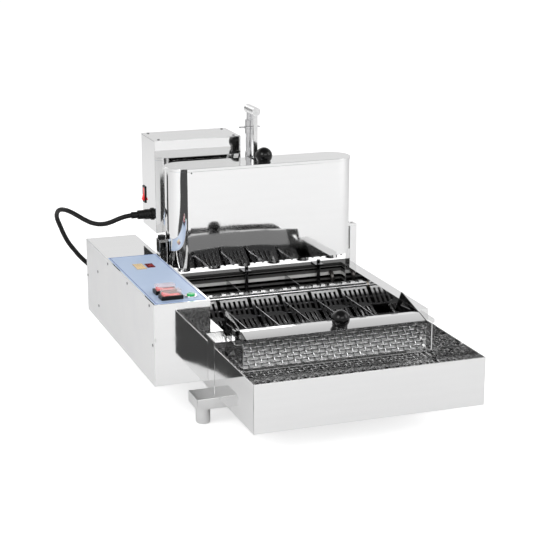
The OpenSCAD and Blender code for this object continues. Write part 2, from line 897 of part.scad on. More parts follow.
module cover_screws() color("silver") placed() {
    at_cover_screws() side_screw();
    at_drive_screws() side_screw();
}

module panel_label() color("lightsteelblue") placed() difference() {
    slab([label_side, label_side, box_z1], [box_w - label_side, label_side + label_l, box_z1 + label_t]);
    for (y = switch_y_list)
        slab([switch_x - switch_l / 2, y - switch_w / 2, box_z1 - over],
             [switch_x + switch_l / 2, y + switch_w / 2, box_z1 + label_t + over]);
    rod_z(bezel_d, button_x, button_y, box_z1 - over, box_z1 + label_t + over);
}

// Flat plate on the panel label
module panel_plate(x, w, l, t) {
    slab([x - w / 2, display_y - l / 2, box_z1 + label_t],
         [x + w / 2, display_y + l / 2, box_z1 + label_t + t]);
}

module display_window() color("darkred") placed() panel_plate(display_x, display_w, display_l, display_t);

module keypad() color("khaki") placed() panel_plate(keypad_x, keypad_w, keypad_l, label_t);

module temperature_controller() color("darkslategray") placed()
    slab([keypad_x - keypad_w / 2 - controller_margin, display_y - keypad_l / 2 - controller_margin,
          box_z1 - box_t - controller_h],
         [display_x + display_w / 2 + controller_margin, display_y + keypad_l / 2 + controller_margin,
          box_z1 - box_t]);

// Frame of a rocker switch, centred, standing on z = 0 with its body below
module rocker_frame(l, w, h, body) {
    difference() {
        union() {
            translate([-l / 2, -w / 2, 0]) cube([l, w, h]);
            translate([-l / 2 + switch_neck, -w / 2 + switch_neck, -body])
                cube([l - 2 * switch_neck, w - 2 * switch_neck, body]);
        }
        translate([-l / 2 + switch_wall, -w / 2 + switch_wall, h - body])
            cube([l - 2 * switch_wall, w - 2 * switch_wall, body + over]);
        rod_y(rocker_pin_d + 2 * run_gap, 0, -w / 2 + switch_wall - rocker_pin_out - free_gap,
              w / 2 - switch_wall + rocker_pin_out + free_gap, h - rocker_thick / 2);
    }
}

// Rocker about the Y axis through the origin, with its pins, tipped to one side
module rocker(l, w) {
    rotate([0, rocker_tilt, 0]) {
        front_profile(-w / 2, w / 2) polygon([
            [-l / 2, -rocker_thick / 2], [l / 2, -rocker_thick / 2], [l / 2, rocker_thick / 2 + rocker_rise],
            [0, rocker_thick / 2 + rocker_rise - rocker_dip], [-l / 2, rocker_thick / 2 + rocker_rise]]);
        rod_y(rocker_pin_d, 0, -w / 2 - rocker_pin_out, w / 2 + rocker_pin_out, 0);
    }
}

module switch_frames() color("black") placed()
    for (y = switch_y_list)
        translate([switch_x, y, box_z1]) rocker_frame(switch_l, switch_w, switch_h, switch_body_h);

module switch_hoods() color([0.95, 0.75, 0.75, 0.5]) placed()
    for (y = switch_y_list)
        translate([switch_x, y, box_z1 + switch_h]) difference() {
            translate([-switch_l / 2 + hood_edge, -switch_w / 2 + hood_edge, 0])
                cube([switch_l - 2 * hood_edge, switch_w - 2 * hood_edge, hood_h]);
            translate([-switch_l / 2 + hood_edge + hood_t, -switch_w / 2 + hood_edge + hood_t, -over])
                cube([switch_l - 2 * hood_edge - 2 * hood_t, switch_w - 2 * hood_edge - 2 * hood_t,
                      hood_h - hood_t + over]);
        }

module front_rocker() color("red") placed()
    translate([switch_x, switch_y_list[0], rocker_z]) rocker(rocker_l, rocker_w);

module rear_rocker() color("red") placed()
    translate([switch_x, switch_y_list[1], rocker_z]) rocker(rocker_l, rocker_w);

module button_bezel() color("silver") placed() difference() {
    union() {
        rod_z(bezel_d, button_x, button_y, box_z1, box_z1 + bezel_h);
        rod_z(button_d + 2 * barrel_wall, button_x, button_y, box_z1 - barrel_l, box_z1);
    }
    rod_z(button_d + 2 * free_gap, button_x, button_y,
          box_z1 - barrel_l + barrel_wall, box_z1 + bezel_h + over);
}

module start_button() color("limegreen") placed()
    rod_z(button_d, button_x, button_y,
          box_z1 + bezel_h + button_out - button_l, box_z1 + bezel_h + button_out);

module contactor() color("dimgray") placed() {
    y = contactor_y_share * box_l;
    x = box_w - box_t - contactor_w;
    slab([x, y, box_z0 + box_t],
         [x + contactor_w, y + contactor_l, box_z0 + box_t + contactor_h - contactor_step]);
    slab([x + contactor_step, y + contactor_step, box_z0 + box_t + contactor_h - contactor_step],
         [x + contactor_w, y + contactor_l - contactor_step, box_z0 + box_t + contactor_h]);
}

module terminal_block() color("beige") placed() difference() {
    z0 = box_z0 + inner_screw_z_shares[0] * box_h - terminal_margin;
    z1 = box_z0 + inner_screw_z_shares[1] * box_h + terminal_margin;
    slab([cover_t, inner_screw_y - terminal_l / 2, z0],
         [cover_t + terminal_w, inner_screw_y + terminal_l / 2, z1]);
    for (i = [0:terminal_slots - 1])
        slab([cover_t + terminal_w / 2, inner_screw_y - terminal_l / 2 - over,
              z0 + (i + 0.5) * (z1 - z0) / terminal_slots - slot_w / 2],
             [cover_t + terminal_w + over, inner_screw_y + terminal_l / 2 + over,
              z0 + (i + 0.5) * (z1 - z0) / terminal_slots + slot_w / 2]);
    at_cover_screws() rod_x(screw_d, -over, screw_l, 0, 0);
}

module flipper_motor() color("darkgray") placed() difference() {
    x1 = box_w - box_t;
    union() {
        slab([x1 - gear_l, flipper_y - gear_w / 2, flipper_z - gear_w / 2],
             [x1, flipper_y + gear_w / 2, flipper_z + gear_w / 2]);
        rod_y(motor_d, x1 - gear_l / 2 - motor_d / 8, flipper_y - gear_w / 2 - motor_l,
              flipper_y - gear_w / 2, flipper_z);
    }
    rod_x(shaft_d + 2 * run_gap, x1 - shaft_in_gear - free_gap, x1 + over, flipper_y, flipper_z);
}

module mains_inlet() color("black") placed() translate([inlet_x, box_l, inlet_z()]) {
    difference() {
        union() {
            slab([-inlet_w / 2, 0, -inlet_h / 2], [inlet_w / 2, inlet_t, inlet_h / 2]);
            slab([-inlet_w / 2 + inlet_wall, -inlet_body, -inlet_h / 2 + inlet_wall],
                 [inlet_w / 2 - inlet_wall, 0, inlet_h / 2 - inlet_wall]);
        }
        slab([-inlet_w / 2 + 2 * inlet_wall, -inlet_body + inlet_wall, -inlet_h / 2 + 2 * inlet_wall],
             [inlet_w / 2 - 2 * inlet_wall, inlet_t + over, inlet_h / 2 - 2 * inlet_wall]);
    }
    for (i = [-1:1])
        slab([i * inlet_pin_pitch - pin_w / 2, -inlet_body + inlet_wall, -pin_w / 2],
             [i * inlet_pin_pitch + pin_w / 2, -inlet_body + inlet_wall + pin_l, pin_w / 2]);
}

module cable_gland() color("black") placed() {
    rod_y(gland_d, gland_x, box_l, box_l + gland_nut_h, gland_z);
    rod_y(gland_bush_d, gland_x, box_l + gland_nut_h, box_l + gland_l, gland_z);
    rod_y(gland_bush_d, gland_x, box_l - box_t, box_l, gland_z);
    rod_y(gland_d, gland_x, box_l - box_t - gland_nut_h, box_l - box_t, gland_z);
}

// Depositor

module uprights() color("silver") placed()
    for (side = [0, 1]) {
        x0 = side == 0 ? upright_x0 : upright_x1 - upright_x;
        z1 = rim_z + upright_h;
        open_y0 = hopper_cy - ear_w / 2 + (side == 0 ? -over : upright_t);
        open_y1 = hopper_cy + ear_w / 2 + (side == 0 ? -upright_t : over);
        difference() {
            slab([x0, hopper_cy - ear_w / 2, rim_z], [x0 + upright_x, hopper_cy + ear_w / 2, z1]);
            slab([x0 + upright_t, open_y0, rim_z + upright_t],
                 [x0 + upright_x - upright_t, open_y1, z1 - upright_t]);
            rod_z(clamp_shank_d + 2 * free_gap, x0 + upright_x / 2, hopper_cy,
                  z1 - upright_t - over, z1 + over);
        }
    }

module hopper_shell() color("whitesmoke") placed() {
    translate([tank_cx, hopper_cy, 0]) difference() {
        translate([0, 0, hopper_z0]) linear_extrude(height = hopper_h) stadium(hopper_w, hopper_d);
        translate([0, 0, hopper_z0 + hopper_t]) linear_extrude(height = hopper_h)
            stadium(hopper_w - 2 * hopper_t, hopper_d - 2 * hopper_t);
        for (i = [0:lanes - 1])
            rod_z(nozzle_bore, nozzle_x(i) - tank_cx, 0, hopper_z0 - over, hopper_z0 + hopper_t + over);
    }
    ear_z = rim_z + upright_h;
    difference() {
        for (x = [[upright_x0, hopper_x0 + ear_w / 2], [hopper_x1 - ear_w / 2, upright_x1]])
            slab([x[0], hopper_cy - ear_w / 2, ear_z], [x[1], hopper_cy + ear_w / 2, ear_z + ear_t]);
        translate([tank_cx, hopper_cy, ear_z - over]) linear_extrude(height = ear_t + 2 * over)
            stadium(hopper_w - hopper_t, hopper_d - hopper_t);
        for (x = [upright_x0 + upright_x / 2, upright_x1 - upright_x / 2])
            rod_z(clamp_shank_d + 2 * free_gap, x, hopper_cy, ear_z - over, ear_z + ear_t + over);
    }
}

module nozzles() color("silver") placed()
    for (i = [0:lanes - 1]) difference() {
        union() {
            rod_z(nozzle_d, nozzle_x(i), hopper_cy, hopper_z0 - nozzle_h, hopper_z0);
            rod_z(nozzle_lip_d, nozzle_x(i), hopper_cy, hopper_z0 - nozzle_lip, hopper_z0);
        }
        rod_z(nozzle_bore, nozzle_x(i), hopper_cy, hopper_z0 - nozzle_h - over, hopper_z0 + over);
    }

module nozzle_bolts() color("gray") placed()
    for (i = [0:lanes - 1], side = [-1, 1])
        rod_z(bolt_d, nozzle_x(i) + side * bolt_offset_share * nozzle_pitch, hopper_cy,
              hopper_z0 - bolt_l, hopper_z0);

module hopper_lid() color("whitesmoke") placed() difference() {
    translate([tank_cx, hopper_cy, 0]) {
        lid_w = hopper_w + 2 * (free_gap + lid_skirt_t);
        lid_d = hopper_d + 2 * (free_gap + lid_skirt_t);
        difference() {
            translate([0, 0, hopper_z1 - lid_skirt])
                linear_extrude(height = lid_skirt + lid_t) stadium(lid_w, lid_d);
            translate([0, 0, hopper_z1 - lid_skirt - over])
                linear_extrude(height = lid_skirt + over)
                    stadium(lid_w - 2 * lid_skirt_t, lid_d - 2 * lid_skirt_t);
        }
    }
    slab([column_x - lid_notch_w / 2, bar_y - lid_notch_front, hopper_z1 - lid_skirt - over],
         [column_x + lid_notch_w / 2, column_y, hopper_z1 + lid_t + over]);
}

module lid_knob() color("black") placed()
    translate([tank_cx + lid_knob_side, hopper_cy - lid_knob_set, hopper_z1 + lid_t]) ball_knob();

module drive_spacers() color("silver") placed()
    for (xs = spacer_x_shares, zs = spacer_z_shares)
        rod_y(spacer_d, spacer_x0 + xs * (drive_x1 - spacer_x0), hopper_y1, drive_y0,
              drive_z0 + zs * drive_h);

module guide_tube() color("silver") placed() difference() {
    union() {
        slab([column_x - guide_block_w / 2, hopper_y1, guide_z0],
             [column_x + guide_block_w / 2, column_y + guide_block_back, guide_z0 + guide_block_h]);
        rod_z(guide_d, column_x, column_y, guide_z0, guide_top);
        rod_z(collar_d, column_x, column_y, guide_z0 + guide_block_h, hopper_z1 + guide_base_h);
        rod_z(collar_d, column_x, column_y, guide_top - guide_bush_h, guide_top);
    }
    rod_z(rod_d + 2 * run_gap, column_x, column_y, guide_z0 - over, guide_top + over);
}

module push_rod() color("silver") placed() {
    rest_z = crank_z - crank_r;
    half_h = crank_pin_d / 2 + yoke_slot_clear + yoke_wall;
    lock_z = guide_top + wing_h + 2 * free_gap;
    yoke_x0 = drive_x1 + crank_gap + crank_t + yoke_gap;
    slot_l = 2 * (crank_r + crank_pin_d / 2 + yoke_slot_clear);
    rod_z(rod_d, column_x, column_y, rest_z - half_h, top_pin_z);
    rod_z(collar_d, column_x, column_y, lock_z, lock_z + lock_h);
    rod_z(yoke_hub_d, column_x, column_y, rest_z - half_h, rest_z + half_h);
    difference() {
        slab([yoke_x0, column_y, rest_z - half_h],
             [yoke_x0 + yoke_t, crank_y + slot_l / 2 + yoke_wall, rest_z + half_h]);
        slab([yoke_x0 - over, crank_y - slot_l / 2, rest_z - half_h + yoke_wall],
             [yoke_x0 + yoke_t + over, crank_y + slot_l / 2, rest_z + half_h - yoke_wall]);
    }
}

module top_pin() color("silver") placed() difference() {
    rod_y(top_pin_d, column_x, bar_y - bar_t / 2 - top_pin_front, column_y + top_pin_back, top_pin_z);
    rod_z(rod_d, column_x, column_y, top_pin_z - top_pin_d, top_pin_z);
    slab([column_x - bar_w / 2, bar_y - bar_t / 2, top_pin_z - top_pin_d],
         [column_x + bar_w / 2, bar_y + bar_t / 2, top_pin_z]);
}

module plunger_bar() color("silver") placed()
    slab([column_x - bar_w / 2, bar_y - bar_t / 2, header_z + header_t],
         [column_x + bar_w / 2, bar_y + bar_t / 2, top_pin_z]);

module plungers() color("silver") placed() {
    slab([nozzle_x(0) - plunger_rod_d, hopper_cy - plunger_rod_d, header_z],
         [nozzle_x(lanes - 1) + plunger_rod_d, hopper_cy - plunger_rod_d + header_w, header_z + header_t]);
    for (i = [0:lanes - 1]) {
        z0 = hopper_z0 - nozzle_h + piston_up;
        rod_z(piston_d, nozzle_x(i), hopper_cy, z0, z0 + piston_h);
        rod_z(plunger_rod_d, nozzle_x(i), hopper_cy, z0 + piston_h, header_z);
    }
}

module drive_crank() color("dimgray") placed() {
    x0 = drive_x1 + crank_gap;
    rod_x(crank_shaft_d, drive_x1 - box_t - drive_shaft_in, x0, crank_y, crank_z);
    rod_x(crank_d, x0, x0 + crank_t, crank_y, crank_z);
    rod_x(crank_pin_d, x0 + crank_t, x0 + crank_t + yoke_gap + yoke_t, crank_y, crank_z - crank_r);
}

module wing_nut() color("silver") placed()
    translate([column_x, column_y, guide_top + free_gap]) difference() {
    union() {
        cylinder(d = wing_hub_d, h = wing_h);
        slab([-wing_span / 2, -wing_w / 2, (wing_h - wing_t) / 2],
             [wing_span / 2, wing_w / 2, (wing_h + wing_t) / 2]);
    }
    translate([0, 0, -over]) cylinder(d = rod_d + 2 * free_gap, h = wing_h + 2 * over);
}

module drive_box() color("whitesmoke") placed() difference() {
    slab([drive_x0, drive_y0, drive_z0], [drive_x1, drive_y1, drive_z1 - box_t]);
    slab([drive_x0 + box_t, drive_y0 + box_t, drive_z0 + box_t],
         [drive_x1 - box_t, drive_y1 - box_t, drive_z1 + over]);
    rod_x(crank_shaft_d + 2 * free_gap, drive_x1 - box_t - over, drive_x1 + over, crank_y, crank_z);
    rod_x(plug_d, drive_x0 - over, drive_x0 + box_t + over, socket_y, socket_z);
    slab([drive_x0 - over, drive_switch_y - drive_switch_w / 2 + switch_neck,
          drive_switch_z - drive_switch_l / 2 + switch_neck],
         [drive_x0 + box_t + over, drive_switch_y + drive_switch_w / 2 - switch_neck,
          drive_switch_z + drive_switch_l / 2 - switch_neck]);
}

module drive_cover() color("gainsboro") placed() difference() {
    inset = box_t + drive_cover_gap;
    union() {
        slab([drive_x0, drive_y0, drive_z1 - box_t], [drive_x1, drive_y1, drive_z1]);
        difference() {
            slab([drive_x0 + inset, drive_y0 + inset, drive_z1 - box_t - drive_cover_skirt],
                 [drive_x1 - inset, drive_y1 - inset, drive_z1 - box_t]);
            slab([drive_x0 + 2 * inset, drive_y0 + 2 * inset, drive_z1 - box_t - drive_cover_skirt - over],
                 [drive_x1 - 2 * inset, drive_y1 - 2 * inset, drive_z1 - box_t + over]);
        }
    }
    at_drive_screws() rod_x(screw_d, -over, screw_l, 0, 0);
}

module drive_motor() color("darkgray") placed() difference() {
    x1 = drive_x1 - box_t;
    union() {
        slab([x1 - drive_gear_l, crank_y - drive_gear_w / 2, crank_z - drive_gear_w / 2],
             [x1, crank_y + drive_gear_w / 2, crank_z + drive_gear_w / 2]);
        rod_x(drive_motor_d, x1 - drive_gear_l - drive_motor_l, x1 - drive_gear_l, crank_y, crank_z);
    }
    rod_x(crank_shaft_d + 2 * run_gap, x1 - drive_shaft_in - free_gap, x1 + over, crank_y, crank_z);
}

// Turns a panel switch to stand out of the drive box's left face
module on_drive_side() {
    translate([drive_x0, drive_switch_y, drive_switch_z]) rotate([0, -90, 0]) children();
}

module drive_switch_frame() color("black") placed()
    on_drive_side() rocker_frame(drive_switch_l, drive_switch_w, drive_switch_out, drive_switch_body);

module drive_rocker() color("red") placed()
    on_drive_side() translate([0, 0, drive_switch_out - rocker_thick / 2])
        rocker(drive_rocker_l, drive_rocker_w);

module drive_socket() color("dimgray") placed() {
    rod_x(socket_flange_d, drive_x0 - socket_flange_t, drive_x0, socket_y, socket_z);
    rod_x(plug_d, drive_x0, drive_x0 + box_t + socket_barrel, socket_y, socket_z);
}

module cable_plug() color("black") placed() {
    x1 = drive_x0 - socket_flange_t;
    rod_x(plug_d, x1 - plug_grip, x1, socket_y, socket_z);
    rod_x(plug_d - 2 * plug_ridge_h, x1 - plug_l + plug_grip / 2, x1 - plug_grip, socket_y, socket_z);
    rod_x(plug_neck_d, x1 - plug_l - plug_grip / 2, x1 - plug_l + plug_grip / 2, socket_y, socket_z);
    for (i = [0:plug_ridges - 1])
        rod_x(plug_d + plug_ridge_h, x1 - plug_ridge_w * (2 * i + 2), x1 - plug_ridge_w * (2 * i + 1),
              socket_y, socket_z);
}

function unit(v) = v / norm(v);
function tangent(path, i) = unit(path[min(i + 1, len(path) - 1)] - path[max(i - 1, 0)]);

// Tube swept along a path, one ring at each of its points
module tube_along(path, d, sides) {
    last = len(path) - 1;
    rings = [for (i = [0:last])
        let (t = i == 0 ? [-1, 0, 0] : i == last ? [0, -1, 0] : tangent(path, i),
             u = unit(cross(t, cable_aside)), v = cross(t, u))
        for (k = [0:sides - 1]) path[i] + d / 2 * (cos(360 * k / sides) * u + sin(360 * k / sides) * v)];
    walls = [for (i = [0:last - 1], k = [0:sides - 1])
        let (a = i * sides + k, b = i * sides + (k + 1) % sides)
        each [[a, a + sides, b], [b, a + sides, b + sides]]];
    start_cap = [[for (k = [0:sides - 1]) k]];
    end_cap = [[for (k = [sides - 1:-1:0]) last * sides + k]];
    polyhedron(points = rings, faces = concat(walls, start_cap, end_cap));
}

module cable() color("black") placed() tube_along(cable_route, cable_d, cable_sides);

// Scoop, flipper and tray

module scoop_frame() color("silver") placed() {
    difference() {
        side_profile(scoop_x0, scoop_x1) polygon([
            [pivot_y - flap_rear, pivot_z + flap_rear_up],
            [pivot_y - flap_fold, pivot_z + flap_rear_up],
            [pivot_y - flap_front, pivot_z + flap_front_up],
            [pivot_y - flap_front, pivot_z + flap_front_up - flap_lip],
            [pivot_y - flap_front + flap_t, pivot_z + flap_front_up - flap_lip],
            [pivot_y - flap_front + flap_t, pivot_z + flap_front_up - flap_t],
            [pivot_y - flap_fold, pivot_z + flap_rear_up - flap_t],
            [pivot_y - flap_rear, pivot_z + flap_rear_up - flap_t]]);
        for (i = [1:lanes - 1])
            slab([pan_x0 + i * lane_pitch - notch_w / 2, pivot_y - flap_rear - notch_d, pivot_z],
                 [pan_x0 + i * lane_pitch + notch_w / 2, pivot_y, pivot_z + flap_rear_up + over]);
    }
    side_profile(scoop_x0 + scoop_t / 2, scoop_x1 - scoop_t / 2) polygon([
        [pivot_y - flap_rear - scoop_t, pivot_z + flap_rear_up],
        [pivot_y - flap_rear, pivot_z + flap_rear_up],
        [pivot_y + comb_start, pivot_z - comb_start_up],
        [pivot_y + comb_start, pivot_z - comb_start_up - scoop_t],
        [pivot_y - flap_rear, pivot_z + flap_rear_up - scoop_t],
        [pivot_y - flap_rear - scoop_t, pivot_z + flap_rear_up - scoop_t]]);
    for (side = [0, 1]) {
        x0 = side == 0 ? scoop_x0 : scoop_x1 - scoop_t;
        difference() {
            side_profile(x0, x0 + scoop_t) polygon([
                [pivot_y - flap_front, pivot_z + flap_front_up],
                [pivot_y + cheek_apex, pivot_z + cheek_apex_up],
                [pivot_y + cheek_rear, pivot_z - cheek_rear_down],
                [pivot_y, pivot_z - ear_d / 4],
                [pivot_y - flap_front, pivot_z + flap_front_up - flap_lip]]);
            side_profile(x0 - over, x0 + scoop_t + over) polygon([
                [pivot_y + ear_d, pivot_z + cheek_web],
                [pivot_y + cheek_apex - cheek_web, pivot_z + cheek_apex_up - 2 * cheek_web],
                [pivot_y + cheek_rear - 3 * cheek_web, pivot_z + cheek_web / 2]]);
        }
        rod_x(ear_d, x0, x0 + scoop_t, pivot_y, pivot_z);
        rod_x(scoop_pin_d, side == 0 ? x0 - lug_gap - lug_t - over : x0 + scoop_t,
              side == 0 ? x0 : x0 + scoop_t + lug_gap + lug_t + over, pivot_y, pivot_z);
    }
}

// Side outline of a comb: a round trough that falls to the rear
module comb_outline()
    translate([pivot_y + comb_start, pivot_z - comb_start_up]) rotate(-comb_tilt) intersection() {
        translate([comb_half, comb_r - comb_depth]) difference() {
            circle(r = comb_r + scoop_t, $fn = 180);
            circle(r = comb_r, $fn = 180);
        }
        translate([0, -comb_depth - 2 * scoop_t])
            square([2 * comb_half, comb_depth + 2 * scoop_t]);
    }

// Plan of a comb, from the slide's edge to rear corners that are cut back in two steps
module comb_plan(x0, x1) {
    rear = pivot_y + comb_reach;
    cut = comb_corner_share * comb_corner;
    polygon([
        [x0, pivot_y + comb_start + tie_gap],
        [x1, pivot_y + comb_start + tie_gap],
        [x1, rear - comb_corner],
        [x1 - cut, rear - cut],
        [x1 - comb_corner, rear],
        [x0 + comb_corner, rear],
        [x0 + cut, rear - cut],
        [x0, rear - comb_corner]]);
}

module scoop_combs() color("gray") placed()
    for (i = [0:lanes - 1]) {
        x0 = max(lane_x(i) - lane_pitch / 2 + comb_side, scoop_x0 + scoop_t);
        x1 = min(lane_x(i) + lane_pitch / 2 - comb_side, scoop_x1 - scoop_t);
        slot_y0 = pivot_y + comb_start + comb_border;
        slot_y1 = pivot_y + comb_reach - comb_border;
        difference() {
            intersection() {
                side_profile(x0, x1) comb_outline();
                translate([0, 0, pivot_z - 2 * comb_depth]) linear_extrude(height = 4 * comb_depth)
                    comb_plan(x0, x1);
            }
            for (k = [0:comb_slots - 1]) {
                x = x0 + (k + 1) * (x1 - x0) / (comb_slots + 1);
                slab([x - comb_slot_w / 2, slot_y0, pivot_z - 2 * comb_depth],
                     [x + comb_slot_w / 2, slot_y1, pivot_z + flap_rear_up]);
            }
        }
    }

module scoop_knob() color("black") placed()
    translate([tank_cx + scoop_knob_side, pivot_y - flap_fold - knob_share * (flap_front - flap_fold),
               pivot_z + flap_rear_up - knob_share * (flap_rear_up - flap_front_up)])
        rotate([flap_slope, 0, 0]) ball_knob();

module flipper_shaft() color("silver") placed() {
    strip_z = flipper_z + shaft_d / 2 - strip_t / 2;
    rod_x(shaft_d, box_w - box_t - shaft_in_gear, pan_x1 + sheet_t + shaft_tail, flipper_y, flipper_z);
    slab([pan_x0 + comb_side, flipper_y - strip_w / 2, strip_z],
         [pan_x1 - comb_side, flipper_y + strip_w / 2, strip_z + strip_t]);
    for (i = [0:lanes - 1], share = tab_shares) {
        x = lane_x(i) + (share - 0.5) * lane_pitch;
        slab([x - tab_l / 2, flipper_y, strip_z + strip_t],
             [x + tab_l / 2, flipper_y + strip_w / 2, strip_z + strip_t + tab_h]);
    }
}

module flipper_combs() color("lightgray") placed()
    for (i = [0:lanes - 1])
        translate([lane_x(i), flipper_y, flipper_z]) rotate([tine_slope, 0, 0]) {
            w = lane_pitch - 2 * comb_side;
            slab([-w / 2, -flipper_root, -flipper_t / 2], [w / 2, -shaft_d / 2, flipper_t / 2]);
            for (k = [0:tines - 1]) {
                x = -w / 2 + tine_w / 2 + k * (w - tine_w) / (tines - 1);
                slab([x - tine_w / 2, -tine_reach, -flipper_t / 2],
                     [x + tine_w / 2, -flipper_root, flipper_t / 2]);
            }
        }

module tray() color("whitesmoke") placed() difference() {
    slab([tank_x0, tray_y0, base_z], [tank_x1, tray_y1, base_z + tray_h]);
    slab([tank_x0 + tray_t, tray_y0 + tray_t, base_z + tray_t],
         [tank_x1 - tray_t, tray_y1 - tray_t, base_z + tray_h + over]);
    slab([tank_x0 + tray_t, tray_y1 - tray_t - over, base_z + tray_rear_h],
         [tank_x1 - tray_t, tray_y1 + over, base_z + tray_h + over]);
}

module rack() color("gray") placed() {
    x0 = tank_x0 + tray_t + rack_gap;
    x1 = tank_x1 - tray_t - rack_gap;
    y0 = tray_y0 + tray_t + rack_gap;
    y1 = tray_y1 - tray_t - rack_gap;
    bar_z = rack_z1 - 2 * wire_d - tie_gap;
    translate([x0, y0, rack_z1 - wire_d]) linear_extrude(height = wire_d)
        net(x1 - x0, y1 - y0, rack_cols, rack_rows, wire_d);
    for (x = [x0, x1 - rack_bar]) {
        slab([x, y0, bar_z], [x + rack_bar, y1, bar_z + wire_d]);
        for (y = [y0, y1 - rack_bar])
            rod_z(rack_foot_d, x + rack_bar / 2, y + rack_bar / 2, base_z + tray_t, bar_z - tie_gap);
    }
}

module clamp_screw() color("dimgray") placed()
    translate([upright_x0 + upright_x / 2, hopper_cy, rim_z + upright_h + ear_t]) {
        difference() {
            translate([0, 0, free_gap]) cylinder(d = clamp_d, h = clamp_h);
            for (k = [0:clamp_grooves - 1])
                rotate([0, 0, 360 * k / clamp_grooves]) translate([clamp_d / 2, 0, 0])
                    cylinder(d = free_gap * 4, h = clamp_h + over);
        }
        translate([0, 0, free_gap - clamp_l]) cylinder(d = clamp_shank_d, h = clamp_l);
    }

base_channels();
feet();
tank_casing();
oil_tank();
heating_element();
probes();
front_dividers();
rear_dividers();
shaft_bushes();
chute_frame();
chute_plate();
chute_net();
control_box();
control_cover();
cover_screws();
panel_label();
display_window();
keypad();
temperature_controller();
switch_frames();
switch_hoods();
button_bezel();
contactor();
terminal_block();
flipper_motor();
mains_inlet();
cable_gland();
uprights();
hopper_shell();
nozzles();
nozzle_bolts();
drive_spacers();
guide_tube();
drive_box();
drive_cover();
drive_motor();
drive_switch_frame();
drive_socket();
cable_plug();
cable();
hopper_lid();
lid_knob();
push_rod();
top_pin();
plunger_bar();
plungers();
drive_crank();
wing_nut();
scoop_frame();
scoop_combs();
scoop_knob();
flipper_shaft();
flipper_combs();
tray();
rack();
front_rocker();
rear_rocker();
drive_rocker();
start_button();
clamp_screw();
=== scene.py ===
# %% [markdown]
# # Donut fryer
# This lesson dresses the CAD model of a countertop donut fryer for a studio picture.
# The solids already have the right size and place, so the work here is finish: bright
# sheet steel, woven wire, glossy knobs, printed film and a bent rubber cable.
# The solids are loaded first and never moved. Each new piece is hung on the body that
# carries it, so that it moves with the lid, the scoop, the tray and so on.

# %% Load the solids
import bpy
import json
import math
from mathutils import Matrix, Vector
from mathutils.geometry import interpolate_bezier

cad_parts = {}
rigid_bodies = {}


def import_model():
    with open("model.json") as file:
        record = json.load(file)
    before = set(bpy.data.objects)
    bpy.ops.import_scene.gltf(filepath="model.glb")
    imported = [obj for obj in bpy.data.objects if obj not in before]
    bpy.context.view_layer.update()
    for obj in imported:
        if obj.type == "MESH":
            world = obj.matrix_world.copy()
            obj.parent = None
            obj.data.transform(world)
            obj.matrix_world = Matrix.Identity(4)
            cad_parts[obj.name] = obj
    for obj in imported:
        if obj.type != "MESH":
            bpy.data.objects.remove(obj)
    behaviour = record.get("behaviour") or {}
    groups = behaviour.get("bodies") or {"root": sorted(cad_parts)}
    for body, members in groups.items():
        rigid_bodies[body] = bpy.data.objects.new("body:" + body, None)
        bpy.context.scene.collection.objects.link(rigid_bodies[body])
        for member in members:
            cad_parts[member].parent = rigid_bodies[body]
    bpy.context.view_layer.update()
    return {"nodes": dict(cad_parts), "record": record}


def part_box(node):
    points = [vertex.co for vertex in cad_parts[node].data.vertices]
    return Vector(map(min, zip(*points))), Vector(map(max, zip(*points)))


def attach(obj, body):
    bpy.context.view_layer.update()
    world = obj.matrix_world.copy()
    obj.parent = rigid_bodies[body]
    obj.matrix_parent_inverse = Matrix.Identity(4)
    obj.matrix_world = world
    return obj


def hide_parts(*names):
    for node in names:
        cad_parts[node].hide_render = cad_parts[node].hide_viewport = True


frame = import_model()
nodes = frame["nodes"]
bodies = frame["record"]["behaviour"]["bodies"]
body_of_node = {n: b for b, names in bodies.items() for n in names}
slot_of_node = {s["node"]: s["material_slot"] for s in frame["record"]["subparts"]}

# %% [markdown]
# The part's source measures from the control box's left side and front face, in
# millimetres. The first helper turns such a place into metres in the row frame, so that
# the numbers of both files can be compared. The others choose what the next step acts on.

# %% Places and choices
ORIGIN_X = 299.4
ORIGIN_Y = 159.0
MM_PER_M = 1000.0


def at(x, y, z):
    return Vector(((x - ORIGIN_X) / MM_PER_M, (y - ORIGIN_Y) / MM_PER_M, z / MM_PER_M))


def deselect():
    if bpy.context.object and bpy.context.object.mode != "OBJECT":
        bpy.ops.object.mode_set(mode="OBJECT")
    bpy.ops.object.select_all(action="DESELECT")


def activate(piece):
    deselect()
    piece.select_set(True)
    bpy.context.view_layer.objects.active = piece


print("front left foot", at(90, -9, 0))

# %% [markdown]
# ## Camera
# The photograph looks a little from the left and from above. The angles and the focal
# length come from fitting the long straight edges of the boxes.

# %% Camera
CAMERA_PITCH = 74.83
CAMERA_TURN = -19.84
camera_data = bpy.data.cameras.new("camera")
camera_data.sensor_width = 36.0
camera_data.lens = 99.89
camera = bpy.data.objects.new("camera", camera_data)
bpy.context.scene.collection.objects.link(camera)
camera.location = at(-694.05, -2555.69, 1020.04)
camera.rotation_euler = (math.radians(CAMERA_PITCH), 0.0, math.radians(CAMERA_TURN))
bpy.context.scene.camera = camera
print("camera at", [round(v, 3) for v in camera.location])

# %% [markdown]
# ## Finishes
# Every finish is built from a few kinds of node, so short helpers make them: a shared
# effect, a range that stretches one value onto another, a mix of two colours, one sum, a
# bump, and the place on the piece.


# %% Node helpers
def even(value):
    return (value, value, value)


def link(tree, *pairs):
    for start, end in pairs:
        tree.links.new(start, end)


def finish(name, metal=0.0):
    material = bpy.data.materials.new(name)
    material.use_nodes = True
    tree = material.node_tree
    bsdf = tree.nodes["Principled BSDF"]
    bsdf.inputs["Metallic"].default_value = metal
    return material, tree, bsdf


